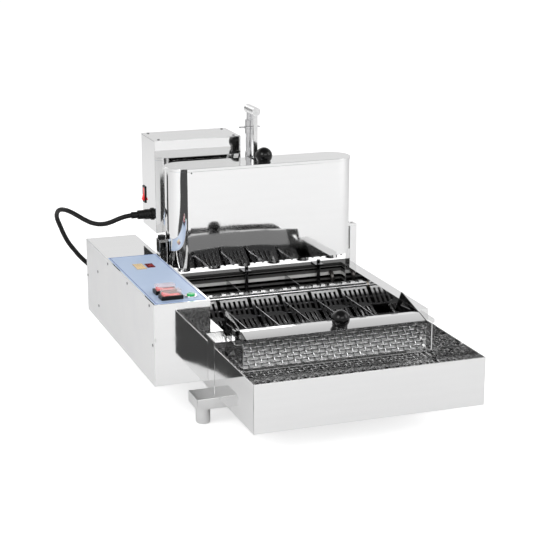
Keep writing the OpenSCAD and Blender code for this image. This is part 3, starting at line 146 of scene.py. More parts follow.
def add_group(tree, group, **values):
    node = tree.nodes.new("ShaderNodeGroup")
    node.node_tree = group
    for label, value in values.items():
        node.inputs[label].default_value = value
    return node


def noise(tree, detail, roughness):
    node = tree.nodes.new("ShaderNodeTexNoise")
    node.inputs["Detail"].default_value = detail
    node.inputs["Roughness"].default_value = roughness
    return node


def ranged(tree, low, high, first=0.0, last=1.0):
    node = tree.nodes.new("ShaderNodeMapRange")
    node.inputs["From Min"].default_value = low
    node.inputs["From Max"].default_value = high
    node.inputs["To Min"].default_value = first
    node.inputs["To Max"].default_value = last
    return node


def mixed(tree, first, last):
    node = tree.nodes.new("ShaderNodeMix")
    node.data_type = "RGBA"
    node.inputs["A"].default_value = (*first, 1.0)
    node.inputs["B"].default_value = (*last, 1.0)
    return node


def reckon(tree, operation, *constants):
    node = tree.nodes.new("ShaderNodeMath")
    node.operation = operation
    for i, constant in enumerate(constants, start=1):
        node.inputs[i].default_value = constant
    return node


def bumped(tree, strength, distance):
    node = tree.nodes.new("ShaderNodeBump")
    node.inputs["Strength"].default_value = strength
    node.inputs["Distance"].default_value = distance
    return node


def place_split(tree):
    place = tree.nodes.new("ShaderNodeTexCoord")
    split = tree.nodes.new("ShaderNodeSeparateXYZ")
    link(tree, (place.outputs["Object"], split.inputs["Vector"]))
    return split


print("node helpers ready")

# %% [markdown]
# Three effects come back in many finishes, so each is a node group: fine lines left by
# rolling or brushing, soft marks left by hands and cloths, and the slow waviness of thin
# sheet. A group gives out values that change over the surface, and the material adds its
# own shader.


# %% Shared effects
def new_group(name, inputs, outputs):
    group = bpy.data.node_groups.new(name, "ShaderNodeTree")
    for label, kind, value in inputs:
        socket = group.interface.new_socket(label, in_out="INPUT", socket_type=kind)
        socket.default_value = value
    for label in outputs:
        group.interface.new_socket(label, in_out="OUTPUT", socket_type="NodeSocketFloat")
    start = group.nodes.new("NodeGroupInput")
    end = group.nodes.new("NodeGroupOutput")
    place = group.nodes.new("ShaderNodeTexCoord")
    return group, start.outputs, end.inputs, place.outputs["Object"]


grain, grain_in, grain_out, grain_place = new_group(
    "sheet_grain", [("Stretch", "NodeSocketVector", (20.0, 600.0, 600.0)),
                    ("Low", "NodeSocketFloat", 0.1), ("High", "NodeSocketFloat", 0.2)],
    ["Roughness", "Height"])
grain_scale = grain.nodes.new("ShaderNodeVectorMath")
grain_scale.operation = "MULTIPLY"
grain_noise = noise(grain, 3.0, 0.5)
grain_noise.inputs["Scale"].default_value = 1.0
grain_range = ranged(grain, 0.3, 0.7)
link(grain, (grain_place, grain_scale.inputs[0]), (grain_in["Stretch"], grain_scale.inputs[1]),
     (grain_scale.outputs["Vector"], grain_noise.inputs["Vector"]),
     (grain_noise.outputs["Fac"], grain_range.inputs["Value"]),
     (grain_in["Low"], grain_range.inputs["To Min"]), (grain_in["High"], grain_range.inputs["To Max"]),
     (grain_range.outputs["Result"], grain_out["Roughness"]),
     (grain_noise.outputs["Fac"], grain_out["Height"]))

marks, marks_in, marks_out, marks_place = new_group(
    "hand_marks", [("Scale", "NodeSocketFloat", 9.0), ("Low", "NodeSocketFloat", 0.0),
                   ("High", "NodeSocketFloat", 1.0)], ["Mask"])
marks_noise = noise(marks, 5.0, 0.62)
marks_range = ranged(marks, 0.42, 0.72)
link(marks, (marks_place, marks_noise.inputs["Vector"]), (marks_in["Scale"], marks_noise.inputs["Scale"]),
     (marks_noise.outputs["Fac"], marks_range.inputs["Value"]),
     (marks_in["Low"], marks_range.inputs["To Min"]), (marks_in["High"], marks_range.inputs["To Max"]),
     (marks_range.outputs["Result"], marks_out["Mask"]))

wave, wave_in, wave_out, wave_place = new_group(
    "sheet_wave", [("Scale", "NodeSocketFloat", 8.0)], ["Height"])
wave_noise = noise(wave, 1.0, 0.3)
link(wave, (wave_place, wave_noise.inputs["Vector"]), (wave_in["Scale"], wave_noise.inputs["Scale"]),
     (wave_noise.outputs["Fac"], wave_out["Height"]))
print("groups", [g.name for g in bpy.data.node_groups])

# %% [markdown]
# A steel finish is made by one function with its own values: a base colour that varies a
# little, a roughness from the grain plus the marks, and a very low bump. Polished sheet
# gets little roughness; brushed sheet gets more, along one direction. Each row gives the
# pale and the dark colour, the least and most roughness, the stretch of the grain, then
# the marks, the bump, the depth of the sheet's waves and their scale.

# %% Steel finishes
STEEL_MARKS = 7.0
STEEL_BUMP = 0.001
ROLLED = (6, 90, 90)


def steel(name, pale, dark, low, high, stretch, mark=0.05, bump=0.02, warp=0.0, warp_scale=8.0):
    material, tree, bsdf = finish(name, 1.0)
    lines = add_group(tree, grain, Stretch=stretch, Low=low, High=high)
    hands = add_group(tree, marks, Scale=STEEL_MARKS, Low=0.0, High=mark)
    total = reckon(tree, "ADD")
    tint = mixed(tree, pale, dark)
    lift = bumped(tree, bump, STEEL_BUMP)
    link(tree, (lines.outputs["Roughness"], total.inputs[0]), (hands.outputs["Mask"], total.inputs[1]),
         (total.outputs["Value"], bsdf.inputs["Roughness"]),
         (lines.outputs["Height"], tint.inputs["Factor"]), (tint.outputs["Result"], bsdf.inputs["Base Color"]),
         (lines.outputs["Height"], lift.inputs["Height"]), (lift.outputs["Normal"], bsdf.inputs["Normal"]))
    if warp:
        slow = add_group(tree, wave, Scale=warp_scale)
        sway = bumped(tree, 1.0, warp)
        link(tree, (slow.outputs["Height"], sway.inputs["Height"]),
             (sway.outputs["Normal"], lift.inputs["Normal"]))
    return material


STEELS = {
    "mirror_steel": (even(0.90), even(0.86), 0.02, 0.05, ROLLED, 0.03, 0.01, 0.0008),
    "hopper_steel": (even(0.93), even(0.90), 0.02, 0.05, ROLLED, 0.03, 0.01, 0.0020, 7.0),
    "satin_steel": (even(0.84), even(0.79), 0.10, 0.16, (12, 900, 900)),
    "tray_steel": (even(0.86), even(0.82), 0.03, 0.07, ROLLED, 0.04, 0.01, 0.0010, 5.0),
    "bright_wire": ((0.86, 0.86, 0.85), even(0.74), 0.10, 0.20, even(200), 0.06),
    "rack_wire": (even(0.46), even(0.34), 0.16, 0.28, even(200), 0.08),
    "chute_steel": (even(0.88), even(0.82), 0.28, 0.36, (12, 300, 300)),
    "lane_steel": ((0.44, 0.44, 0.45), (0.38, 0.38, 0.39), 0.04, 0.08, ROLLED, 0.05, 0.01, 0.0006),
    "comb_steel": (even(0.20), even(0.14), 0.12, 0.20, even(60), 0.08),
    "column_steel": ((0.66, 0.66, 0.67), (0.56, 0.56, 0.57), 0.05, 0.11, (40, 40, 300), 0.04),
    "dark_wire": ((0.30, 0.30, 0.31), (0.20, 0.20, 0.21), 0.10, 0.20, even(60), 0.08),
    "element_steel": ((0.20, 0.19, 0.18), (0.10, 0.09, 0.09), 0.30, 0.45, even(80), 0.10),
    "chrome_ring": (even(0.90), even(0.84), 0.03, 0.06, even(60), 0.02),
    "bronze_bush": ((0.46, 0.37, 0.24), (0.36, 0.28, 0.18), 0.20, 0.32, (300, 60, 60), 0.08),
}
FINISHES = {name: steel(name, *values) for name, values in STEELS.items()}
print("steel finishes", len(FINISHES))

# %% [markdown]
# The inside of the tank is made darker towards the bottom, and its rim and front ledge
# bright: the height above the floor drives the colour. The rear wall carries painted
# reflections: pale bands between dark ones, fixed on it as dull colours by height.
# Each entry is a height in metres and a brightness.

# %% Oil tank finish
# The tank is darker towards the bottom: dark below the first height, bright steel above the second.
DARK_BELOW = 0.105
BRIGHT_ABOVE = 0.160
BRIGHT_STEEL = even(0.84)
REAR_WALL = (0.20, 0.21)
RIM = (0.1780, 0.1785)
DULL_SHARE = 0.9
BANDS_LOW = 0.110
BANDS_HIGH = 0.180
# Painted reflections: pale and dark bands on the rear wall, each a height in metres and a brightness.
REFLECTION_BANDS = ((0.110, 0.01), (0.125, 0.01), (0.127, 0.10), (0.130, 0.08), (0.132, 0.0), (0.136, 0.0),
              (0.138, 0.16), (0.141, 0.12), (0.142, 0.0), (0.147, 0.0), (0.148, 0.95), (0.154, 0.90),
              (0.155, 0.12), (0.161, 0.10), (0.162, 0.0), (0.165, 0.0), (0.166, 0.25), (0.168, 0.02),
              (0.171, 0.08), (0.176, 0.06))
oil_steel, oil_tree, oil_bsdf = finish("oil_steel")
oil_bsdf.inputs["Specular IOR Level"].default_value = 0.1
oil_split = place_split(oil_tree)
tank_darkening = ranged(oil_tree, DARK_BELOW, BRIGHT_ABOVE)
tank_tint = mixed(oil_tree, (0.12, 0.115, 0.11), BRIGHT_STEEL)
oil_lines = add_group(oil_tree, grain, Stretch=ROLLED, Low=0.05, High=0.10)
oil_hands = add_group(oil_tree, marks, Scale=9.0, Low=0.0, High=0.06)
oil_sum = reckon(oil_tree, "ADD")
# Painted reflection bands: the height picks the band, and the rear wall and rim masks decide where it shows.
band_height = ranged(oil_tree, BANDS_LOW, BANDS_HIGH)
painted_reflection = oil_tree.nodes.new("ShaderNodeValToRGB")
band_stops = painted_reflection.color_ramp.elements
for i, (height, value) in enumerate(REFLECTION_BANDS):
    position = (height - BANDS_LOW) / (BANDS_HIGH - BANDS_LOW)
    line = band_stops[0] if i == 0 else band_stops.new(position)
    line.color = (value, value, value * 0.98, 1.0)
band_stops[-1].color = (*BRIGHT_STEEL, 1.0)
band_wall = ranged(oil_tree, *REAR_WALL)
band_tint = mixed(oil_tree, BRIGHT_STEEL, BRIGHT_STEEL)
band_rim = ranged(oil_tree, *RIM, 1.0, 0.0)
band_dull = reckon(oil_tree, "MULTIPLY")
band_metal = reckon(oil_tree, "MULTIPLY_ADD", -DULL_SHARE, 1.0)
link(oil_tree, (oil_split.outputs["Z"], tank_darkening.inputs["Value"]),
     (tank_darkening.outputs["Result"], tank_tint.inputs["Factor"]),
     (oil_split.outputs["Z"], band_height.inputs["Value"]), (oil_split.outputs["Z"], band_rim.inputs["Value"]),
     (oil_split.outputs["Y"], band_wall.inputs["Value"]), (band_height.outputs["Result"], painted_reflection.inputs["Fac"]),
     (band_wall.outputs["Result"], band_tint.inputs["Factor"]),
     (tank_tint.outputs["Result"], band_tint.inputs["A"]), (painted_reflection.outputs["Color"], band_tint.inputs["B"]),
     (band_wall.outputs["Result"], band_dull.inputs[0]), (band_rim.outputs["Result"], band_dull.inputs[1]),
     (band_dull.outputs["Value"], band_metal.inputs[0]),
     (band_metal.outputs["Value"], oil_bsdf.inputs["Metallic"]),
     (band_tint.outputs["Result"], oil_bsdf.inputs["Base Color"]),
     (oil_lines.outputs["Roughness"], oil_sum.inputs[0]), (oil_hands.outputs["Mask"], oil_sum.inputs[1]),
     (oil_sum.outputs["Value"], oil_bsdf.inputs["Roughness"]))
FINISHES["oil_steel"] = oil_steel
print("oil tank finish", len(REFLECTION_BANDS), "tide lines")

# %% [markdown]
# The scoop's flap is bright and its two upright cheeks are dark. The dark cheeks are a
# painted reflection, set as the cheeks' own colour; the distance from the
# scoop's middle tells flap and cheeks apart.

# %% Scoop finish
SCOOP_MIDDLE = at(335, 0, 0).x
CHEEK_AT = (0.1808, 0.1812)
scoop_steel, scoop_tree, scoop_bsdf = finish("scoop_steel", 1.0)
scoop_split = place_split(scoop_tree)
scoop_off = reckon(scoop_tree, "SUBTRACT", SCOOP_MIDDLE)
scoop_far = reckon(scoop_tree, "ABSOLUTE")
cheek_reflection_mask = ranged(scoop_tree, *CHEEK_AT)
# Painted reflection: the cheeks are painted dark and the flap bright.
scoop_reflection_tint = mixed(scoop_tree, even(0.88), even(0.10))
scoop_lines = add_group(scoop_tree, grain, Stretch=ROLLED, Low=0.03, High=0.08)
link(scoop_tree, (scoop_split.outputs["X"], scoop_off.inputs[0]),
     (scoop_off.outputs["Value"], scoop_far.inputs[0]), (scoop_far.outputs["Value"], cheek_reflection_mask.inputs["Value"]),
     (cheek_reflection_mask.outputs["Result"], scoop_reflection_tint.inputs["Factor"]),
     (scoop_reflection_tint.outputs["Result"], scoop_bsdf.inputs["Base Color"]),
     (scoop_lines.outputs["Roughness"], scoop_bsdf.inputs["Roughness"]))
FINISHES["scoop_steel"] = scoop_steel
print("scoop finish", scoop_steel.name)

# %% [markdown]
# Wire and tines are painted bright on top and dark below: a painted highlight above and
# painted shade below. The height over a plane tells the two apart: the place on the piece
# is projected on the plane's normal. The flipper's strip carries a painted reflection,
# bright on its front half only, so its normal points forward.


# %% Painted light on wire, tines and strip
def painted_light_split(name, up, middle, reach, bright, dark, low, high):
    material, tree, bsdf = finish(name, 1.0)
    place = tree.nodes.new("ShaderNodeTexCoord")
    rise = tree.nodes.new("ShaderNodeVectorMath")
    rise.operation = "DOT_PRODUCT"
    rise.inputs[1].default_value = up
    painted_light_mask = ranged(tree, middle - reach, middle + reach)
    # Painted light: the bright colour on the lit side, the dark colour on the shaded side.
    tint = mixed(tree, even(dark), even(bright))
    lines = add_group(tree, grain, Stretch=even(200), Low=low, High=high)
    link(tree, (place.outputs["Object"], rise.inputs[0]), (rise.outputs["Value"], painted_light_mask.inputs["Value"]),
         (painted_light_mask.outputs["Result"], tint.inputs["Factor"]), (tint.outputs["Result"], bsdf.inputs["Base Color"]),
         (lines.outputs["Roughness"], bsdf.inputs["Roughness"]))
    return material


UPWARD = (0.0, 0.0, 1.0)
FORWARD = (0.0, -1.0, 0.0)
# Painted highlight on the tines' tops and painted shade below; painted reflection on the strip's front half.
FINISHES["tine_steel"] = painted_light_split("tine_steel", UPWARD, 0.1480, 0.0025, 0.95, 0.10, 0.38, 0.48)
FINISHES["strip_steel"] = painted_light_split("strip_steel", FORWARD, -0.0864, 0.0003, 0.88, 0.10, 0.10, 0.20)
print("worn finishes", FINISHES["tine_steel"].name, FINISHES["strip_steel"].name)

# %% [markdown]
# Paint, film and moulded plastic share another function: a colour that drifts slightly
# with the marks, a roughness from the grain, and a fine moulded bump. Each row gives the
# pale and the dark colour, the least and most roughness, the scale of the grain and its
# bump, then a clear coat and the strength of the shine.

# %% Plastic, film and paint finishes
MOULDED_MARKS = 12.0
MOULDED_BUMP = 0.0004


def moulded(name, pale, dark, low, high, size=900.0, bump=0.05, coat=0.0, shine=0.5):
    material, tree, bsdf = finish(name)
    lines = add_group(tree, grain, Stretch=even(size), Low=low, High=high)
    hands = add_group(tree, marks, Scale=MOULDED_MARKS, Low=0.0, High=1.0)
    tint = mixed(tree, pale, dark)
    lift = bumped(tree, bump, MOULDED_BUMP)
    bsdf.inputs["Coat Weight"].default_value = coat
    bsdf.inputs["Specular IOR Level"].default_value = shine
    link(tree, (hands.outputs["Mask"], tint.inputs["Factor"]), (tint.outputs["Result"], bsdf.inputs["Base Color"]),
         (lines.outputs["Roughness"], bsdf.inputs["Roughness"]),
         (lines.outputs["Height"], lift.inputs["Height"]), (lift.outputs["Normal"], bsdf.inputs["Normal"]))
    return material


MOULDINGS = {
    "grey_cover": (even(0.72), (0.69, 0.69, 0.70), 0.34, 0.44, 1400.0, 0.02),
    "black_knob": (even(0.003), even(0.005), 0.08, 0.14, 200.0, 0.01, 0.0, 0.28),
    "black_plastic": (even(0.006), even(0.010), 0.30, 0.44, 1500.0, 0.10, 0.0, 0.22),
    "black_rubber": (even(0.006), even(0.010), 0.40, 0.54, 1200.0, 0.10, 0.0, 0.25),
    "blue_film": ((0.49, 0.62, 0.84), (0.52, 0.65, 0.86), 0.30, 0.42, 800.0, 0.03),
    "blue_line": ((0.09, 0.15, 0.42), (0.11, 0.18, 0.46), 0.30, 0.42, 800.0, 0.03),
    "yellow_film": ((0.62, 0.38, 0.15), (0.66, 0.42, 0.19), 0.30, 0.42, 800.0, 0.03),
    "key_cream": ((0.93, 0.73, 0.41), (0.88, 0.68, 0.37), 0.34, 0.46, 800.0),
    "red_digit": ((0.75, 0.05, 0.04), (0.62, 0.04, 0.03), 0.20, 0.30, 800.0, 0.02),
    "red_lens": ((0.20, 0.015, 0.02), (0.26, 0.02, 0.025), 0.08, 0.16, 300.0, 0.01, 0.5),
    "red_rocker": ((0.86, 0.010, 0.014), (0.78, 0.008, 0.012), 0.14, 0.24, 900.0, 0.03, 0.2),
    "green_button": ((0.02, 0.50, 0.13), (0.015, 0.42, 0.10), 0.20, 0.30, 900.0, 0.03, 0.1),
    "motor_paint": ((0.10, 0.11, 0.12), (0.07, 0.08, 0.09), 0.36, 0.50, 700.0, 0.08),
    "cream_plastic": ((0.62, 0.57, 0.44), (0.56, 0.51, 0.39), 0.34, 0.46),
}
FINISHES.update({name: moulded(name, *values) for name, values in MOULDINGS.items()})
print("moulded finishes", len(MOULDINGS))

# %% [markdown]
# The rockers are given a weak painted glow that lifts their red. Their hoods are thin clear plastic, made
# as a weak veil so that the red shows through.

# %% Painted glow on the rockers, and clear hoods
rocker_bsdf = FINISHES["red_rocker"].node_tree.nodes["Principled BSDF"]
# Painted glow: a weak red emission on the rockers.
rocker_bsdf.inputs["Emission Color"].default_value = (0.9, 0.01, 0.01, 1.0)
rocker_bsdf.inputs["Emission Strength"].default_value = 0.25
hood, hood_tree, hood_bsdf = finish("clear_hood")
hood_bsdf.inputs["Base Color"].default_value = (0.97, 0.90, 0.89, 1.0)
hood_bsdf.inputs["Alpha"].default_value = 0.17
hood_bsdf.inputs["IOR"].default_value = 1.45
hood_lines = add_group(hood_tree, grain, Stretch=even(60), Low=0.03, High=0.08)
link(hood_tree, (hood_lines.outputs["Roughness"], hood_bsdf.inputs["Roughness"]))
FINISHES["clear_hood"] = hood
print("finishes", len(FINISHES))

# %% [markdown]
# Every solid takes the finish that the record names for it. Some need another one than
# their slot: they are polished in their own way, darker towards the bottom, or carry painted reflections and
# painted light and shade.

# %% Finish the solids
OWN_FINISH = {"tray": "tray_steel", "oil_tank": "oil_steel", "hopper_shell": "hopper_steel",
              "front_dividers": "lane_steel", "rear_dividers": "lane_steel", "rack": "rack_wire",
              "chute_net": "bright_wire", "chute_plate": "chute_steel", "flipper_combs": "tine_steel",
              "scoop_combs": "comb_steel", "guide_tube": "column_steel", "push_rod": "column_steel",
              "wing_nut": "column_steel", "top_pin": "chute_steel", "uprights": "mirror_steel",
              "scoop_frame": "scoop_steel", "flipper_shaft": "strip_steel", "cover_screws": "dark_wire"}
for name, solid in nodes.items():
    solid.data.materials.clear()
    solid.data.materials.append(FINISHES[OWN_FINISH.get(name, slot_of_node[name])])
print("dressed", len(nodes))

# %% [markdown]
# ## Folded edges
# Real sheet has no razor edges: each fold and cut is rounded and catches a thin line of
# light. A copy of the solid is welded, its flat triangles are dissolved into whole faces,
# and a small bevel rounds what is left. Weighted normals keep the flats flat. Corners
# between two heights can be shifted first, which lengthens a slot.

# %% Round the edges of the sheet pieces
FOLD_ANGLE = math.radians(32.0)
FLAT_ANGLE = math.radians(0.5)
WELD = 0.00001


def soften(node, edge, stretch=None):
    activate(nodes[node])
    bpy.ops.object.duplicate()
    piece = bpy.context.object
    piece.name = piece.data.name = f"{node}_sheet"
    bpy.ops.object.parent_clear(type="CLEAR_KEEP_TRANSFORM")
    bpy.ops.object.mode_set(mode="EDIT")
    bpy.ops.mesh.select_all(action="SELECT")
    bpy.ops.mesh.remove_doubles(threshold=WELD)
    bpy.ops.mesh.dissolve_limited(angle_limit=FLAT_ANGLE)
    if stretch:
        low, high, shift = stretch
        bpy.ops.mesh.select_mode(type="VERT")
        bpy.ops.mesh.select_all(action="DESELECT")
        bpy.ops.object.mode_set(mode="OBJECT")
        for corner in piece.data.vertices:
            corner.select = low < corner.co.z < high
        bpy.ops.object.mode_set(mode="EDIT")
        bpy.ops.transform.translate(value=shift)
    bpy.ops.object.mode_set(mode="OBJECT")
    bpy.ops.object.shade_smooth_by_angle(angle=FOLD_ANGLE)
    rim = piece.modifiers.new("fold", "BEVEL")
    rim.limit_method = "ANGLE"
    rim.angle_limit = FOLD_ANGLE
    rim.width = edge
    rim.segments = 2
    rim.use_clamp_overlap = True
    bpy.ops.object.modifier_apply(modifier="fold")
    bpy.ops.object.shade_smooth_by_angle(angle=FOLD_ANGLE)
    flat = piece.modifiers.new("flats", "WEIGHTED_NORMAL")
    flat.keep_sharp = True
    bpy.ops.object.modifier_apply(modifier="flats")
    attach(piece, body_of_node[node])
    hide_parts(node)
    return piece


print("softening ready")

# %% [markdown]
# ## Cable
# One stiff rubber cable leaves the plug on the drive box, sags, rises over the control
# box's rear corner and drops behind it into a gland. It could be a swept mesh; a Bezier
# curve with a round bevel is used because it keeps the bends smooth. Its points are those
# of the solid. The ribbed plug on its end is the solid itself with rounded edges.

# %% Cable
CABLE_POINTS = [
    (82, 463, 299), (68, 464, 297), (54, 468, 292), (40, 475, 285), (25, 484, 280), (8, 496, 280),
    (-8, 510, 286), (-22, 525, 294), (-34, 539, 300), (-43, 556, 301), (-49, 574, 297), (-51, 591, 287),
    (-49, 604, 273), (-41, 611, 252), (-32, 614, 230), (-22, 617, 211), (-10, 619, 194), (3, 621, 177),
    (18, 621, 161), (32, 619, 146), (47, 612, 131), (60, 600, 119), (68, 582, 112), (70, 561, 110)]
CABLE_D = 0.01
cable_curve = bpy.data.curves.new("cable_sheath", "CURVE")
cable_curve.dimensions = "3D"
cable_curve.bevel_depth = CABLE_D / 2
cable_curve.bevel_resolution = 5
cable_curve.resolution_u = 8
cable_curve.use_fill_caps = True
spline = cable_curve.splines.new("BEZIER")
spline.bezier_points.add(len(CABLE_POINTS) - 1)
for point, place in zip(spline.bezier_points, CABLE_POINTS):
    point.co = at(*place)
    point.handle_left_type = point.handle_right_type = "AUTO"
cable = bpy.data.objects.new("cable_sheath", cable_curve)
bpy.context.scene.collection.objects.link(cable)
bpy.context.view_layer.update()
for a, b in zip(spline.bezier_points[:-1], spline.bezier_points[1:]):
    steps = interpolate_bezier(a.co, a.handle_right, b.handle_left, b.co, 12)
cable.data.materials.append(FINISHES["black_rubber"])
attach(cable, "chassis")
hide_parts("cable")
plug = soften("cable_plug", 0.0005)

# %% [markdown]
# ## Studio
# A white sweep and soft light from all round. Polished steel shows only what it
# reflects, so the surroundings carry the picture: a white horizon, a grey ceiling and a
# floor that keeps its shadows for the steel. The camera itself sees the paper lifted to
# plain white, as in a catalogue picture.

# %% Floor
PAPER_LIFT = 0.50
PAPER_GLOW = 0.05
deselect()
bpy.ops.mesh.primitive_plane_add(size=40.0, location=(0.0, 0.0, 0.0))
floor = bpy.context.object
floor.name = "studio_floor"
paper, paper_tree, paper_bsdf = finish("studio_paper")
paper_bsdf.inputs["Base Color"].default_value = (*even(0.93), 1.0)
paper_bsdf.inputs["Roughness"].default_value = 0.9
paper_bsdf.inputs["Emission Color"].default_value = (*even(1.0), 1.0)
paper_ray = paper_tree.nodes.new("ShaderNodeLightPath")
paper_lift = reckon(paper_tree, "MULTIPLY_ADD", PAPER_LIFT, PAPER_GLOW)
link(paper_tree, (paper_ray.outputs["Is Camera Ray"], paper_lift.inputs[0]),
     (paper_lift.outputs["Value"], paper_bsdf.inputs["Emission Strength"]))
floor.data.materials.append(paper)
print("floor", floor.dimensions[:])

# %% [markdown]
# Polished steel looks flat when everything round it is white, so black cloth is put where
# only some faces mirror it. Two cloths lie on the floor, at the front left and the back
# left, and a card stands behind, all out of the picture: round ends, tubes and folds get
# a dark line, flat fronts stay white. They are seen by reflections alone and take no
# light from the scene.

# %% Black cloths
LAID = 0.001
CLOTHS = {
    "front_left": ((-1.55, -1.98, LAID), (-0.19, -2.10, LAID), (-0.159, -0.67, LAID), (-0.28, -0.42, LAID),
                   (-0.30, -0.30, LAID), (-0.45, -0.10, LAID), (-1.10, -0.10, LAID)),
    "back_left": ((-0.95, 0.75, LAID), (-1.80, 1.20, LAID), (-1.45, 1.75, LAID), (-0.80, 1.02, LAID)),
    "back_card": ((-1.75, 3.0, 0.35), (-0.25, 3.0, 0.35), (-0.25, 3.0, 1.60), (-1.75, 3.0, 1.60)),
}
black_cloth, cloth_tree, cloth_bsdf = finish("studio_cloth")
cloth_bsdf.inputs["Base Color"].default_value = (*even(0.02), 1.0)
cloth_bsdf.inputs["Roughness"].default_value = 0.9
for name, outline in CLOTHS.items():
    deselect()
    bpy.ops.mesh.primitive_circle_add(vertices=len(outline), radius=1.0, fill_type="NGON",
                                      location=(0.0, 0.0, 0.0))
    cloth = bpy.context.object
    cloth.name = f"studio_cloth_{name}"
    for corner, place in zip(cloth.data.vertices, outline):
        corner.co = place
    cloth.data.materials.append(black_cloth)
    cloth.visible_camera = cloth.visible_diffuse = cloth.visible_shadow = False
print("cloths", list(CLOTHS))

# %% [markdown]
# The surroundings are a ramp over the height: white round the horizon, where the tops of
# the boxes look, and grey overhead, where the sloping plates look. The camera sees plain
# white instead.

# %% Surroundings
SKY_STEPS = ((0.10, 0.76), (0.30, 0.82), (0.52, 0.88), (0.66, 0.62), (0.78, 0.34), (0.88, 0.22))
world = bpy.data.worlds.new("studio")
bpy.context.scene.world = world
world.use_nodes = True
sky = world.node_tree
sky.nodes.clear()
sky_out = sky.nodes.new("ShaderNodeOutputWorld")
sky_seen = sky.nodes.new("ShaderNodeBackground")
sky_lit = sky.nodes.new("ShaderNodeBackground")
sky_mix = sky.nodes.new("ShaderNodeMixShader")
sky_ray = sky.nodes.new("ShaderNodeLightPath")
sky_place = sky.nodes.new("ShaderNodeTexCoord")
sky_split = sky.nodes.new("ShaderNodeSeparateXYZ")
sky_ramp = sky.nodes.new("ShaderNodeValToRGB")
sky_seen.inputs["Color"].default_value = (*even(1.0), 1.0)
sky_seen.inputs["Strength"].default_value = 1.05
sky_stops = sky_ramp.color_ramp.elements
sky_stops[0].color = (*even(0.70), 1.0)
sky_stops[1].color = (0.20, 0.20, 0.21, 1.0)
for position, value in SKY_STEPS:
    sky_stops.new(position).color = (*even(value), 1.0)
link(sky, (sky_place.outputs["Generated"], sky_split.inputs["Vector"]),
     (sky_split.outputs["Z"], sky_ramp.inputs["Fac"]), (sky_ramp.outputs["Color"], sky_lit.inputs["Color"]),
     (sky_ray.outputs["Is Camera Ray"], sky_mix.inputs["Fac"]),
     (sky_lit.outputs["Background"], sky_mix.inputs[1]), (sky_seen.outputs["Background"], sky_mix.inputs[2]),
     (sky_mix.outputs["Shader"], sky_out.inputs["Surface"]))
print("surroundings", len(sky_stops), "steps")

# %% [markdown]
# Four softboxes shape the plain parts: one from the left, a weaker one from the right, one
# over the camera, and a small one that keeps the paper behind the machine bright. Each row
# gives the place, the point it faces, the width, the height and the power.

# %% Softboxes
MACHINE = (0.0, 0.0, 0.2)
SOFTBOXES = {
    "key_left": ((-2.2, -1.6, 2.2), MACHINE, 1.6, 1.6, 34.0),
    "fill_right": ((2.4, -1.2, 1.6), MACHINE, 1.4, 1.8, 18.0),
    "front_wash": ((0.2, -3.2, 1.9), MACHINE, 2.4, 1.2, 18.0),
    "back_wash": ((-0.8, 2.2, 1.4), (-0.65, 1.7, 0.0), 1.2, 1.2, 6.0),
}
for name, (place, target, width, height, power) in SOFTBOXES.items():
    data = bpy.data.lights.new(name, "AREA")
    data.shape = "RECTANGLE"
    data.size = width
    data.size_y = height
    data.energy = power
    light = bpy.data.objects.new(name, data)
    bpy.context.scene.collection.objects.link(light)
    light.location = place
    light.rotation_euler = (Vector(target) - Vector(place)).to_track_quat("-Z", "Y").to_euler()
bpy.context.scene.view_settings.view_transform = "Standard"
print("lights", list(SOFTBOXES))

# %% [markdown]
# ## Visible pieces
# The edge width follows the real piece: about half a millimetre on sheet, a little more on
# moulded and turned pieces, less on thin tines and plates. The slots between the flipper's
# tines reach nearly to its shaft, so their closed ends are moved up along the slope.

# %% Soften the visible solids
SHEETS = {"tank_casing": 0.0010, "oil_tank": 0.0005, "control_box": 0.0020, "control_cover": 0.0005,
          "drive_box": 0.0020, "drive_cover": 0.0007, "tray": 0.0006, "hopper_lid": 0.0007,
          "scoop_frame": 0.0004, "chute_frame": 0.0004, "base_channels": 0.0008, "uprights": 0.0005,
          "switch_frames": 0.0008, "front_rocker": 0.0006, "rear_rocker": 0.0006, "drive_rocker": 0.0006,
          "drive_switch_frame": 0.0005, "button_bezel": 0.0007, "start_button": 0.0008,
          "mains_inlet": 0.0006, "cable_gland": 0.0008, "top_pin": 0.0010,
          "wing_nut": 0.0006, "guide_tube": 0.0005, "push_rod": 0.0006, "switch_hoods": 0.0004,
          "hopper_shell": 0.0004, "lid_knob": 0.0004, "scoop_knob": 0.0004, "feet": 0.0008,
          "cover_screws": 0.0004, "scoop_combs": 0.0003, "flipper_combs": 0.0003, "front_dividers": 0.0002,
          "rear_dividers": 0.0002, "flipper_shaft": 0.0003, "nozzles": 0.0004, "plunger_bar": 0.0005,
          "chute_plate": 0.0003, "clamp_screw": 0.0004, "keypad": 0.0002, "display_window": 0.0002}
TINE_SLOPE = math.radians(40.0)
SLOT_MORE = 0.0065
SLOT_SHIFT = (0.0, SLOT_MORE * math.cos(TINE_SLOPE), SLOT_MORE * math.sin(TINE_SLOPE))
STRETCH = {"flipper_combs": (0.1495, 0.1520, SLOT_SHIFT)}
for name, edge in SHEETS.items():
    soften(name, edge, STRETCH.get(name))
print("softened", len(SHEETS))

# %% [markdown]
# ## Woven rack
# The rack in the tray is crimped wire, woven over and under. One wire is drawn as a wave
# and copied at every second place; its partner starts half a wave later. The same is
# done across, so that every crossing has one wire above and one below.

# %% Woven rack
WAVE_PARTS = 4
LIT_SHARE = 0.8


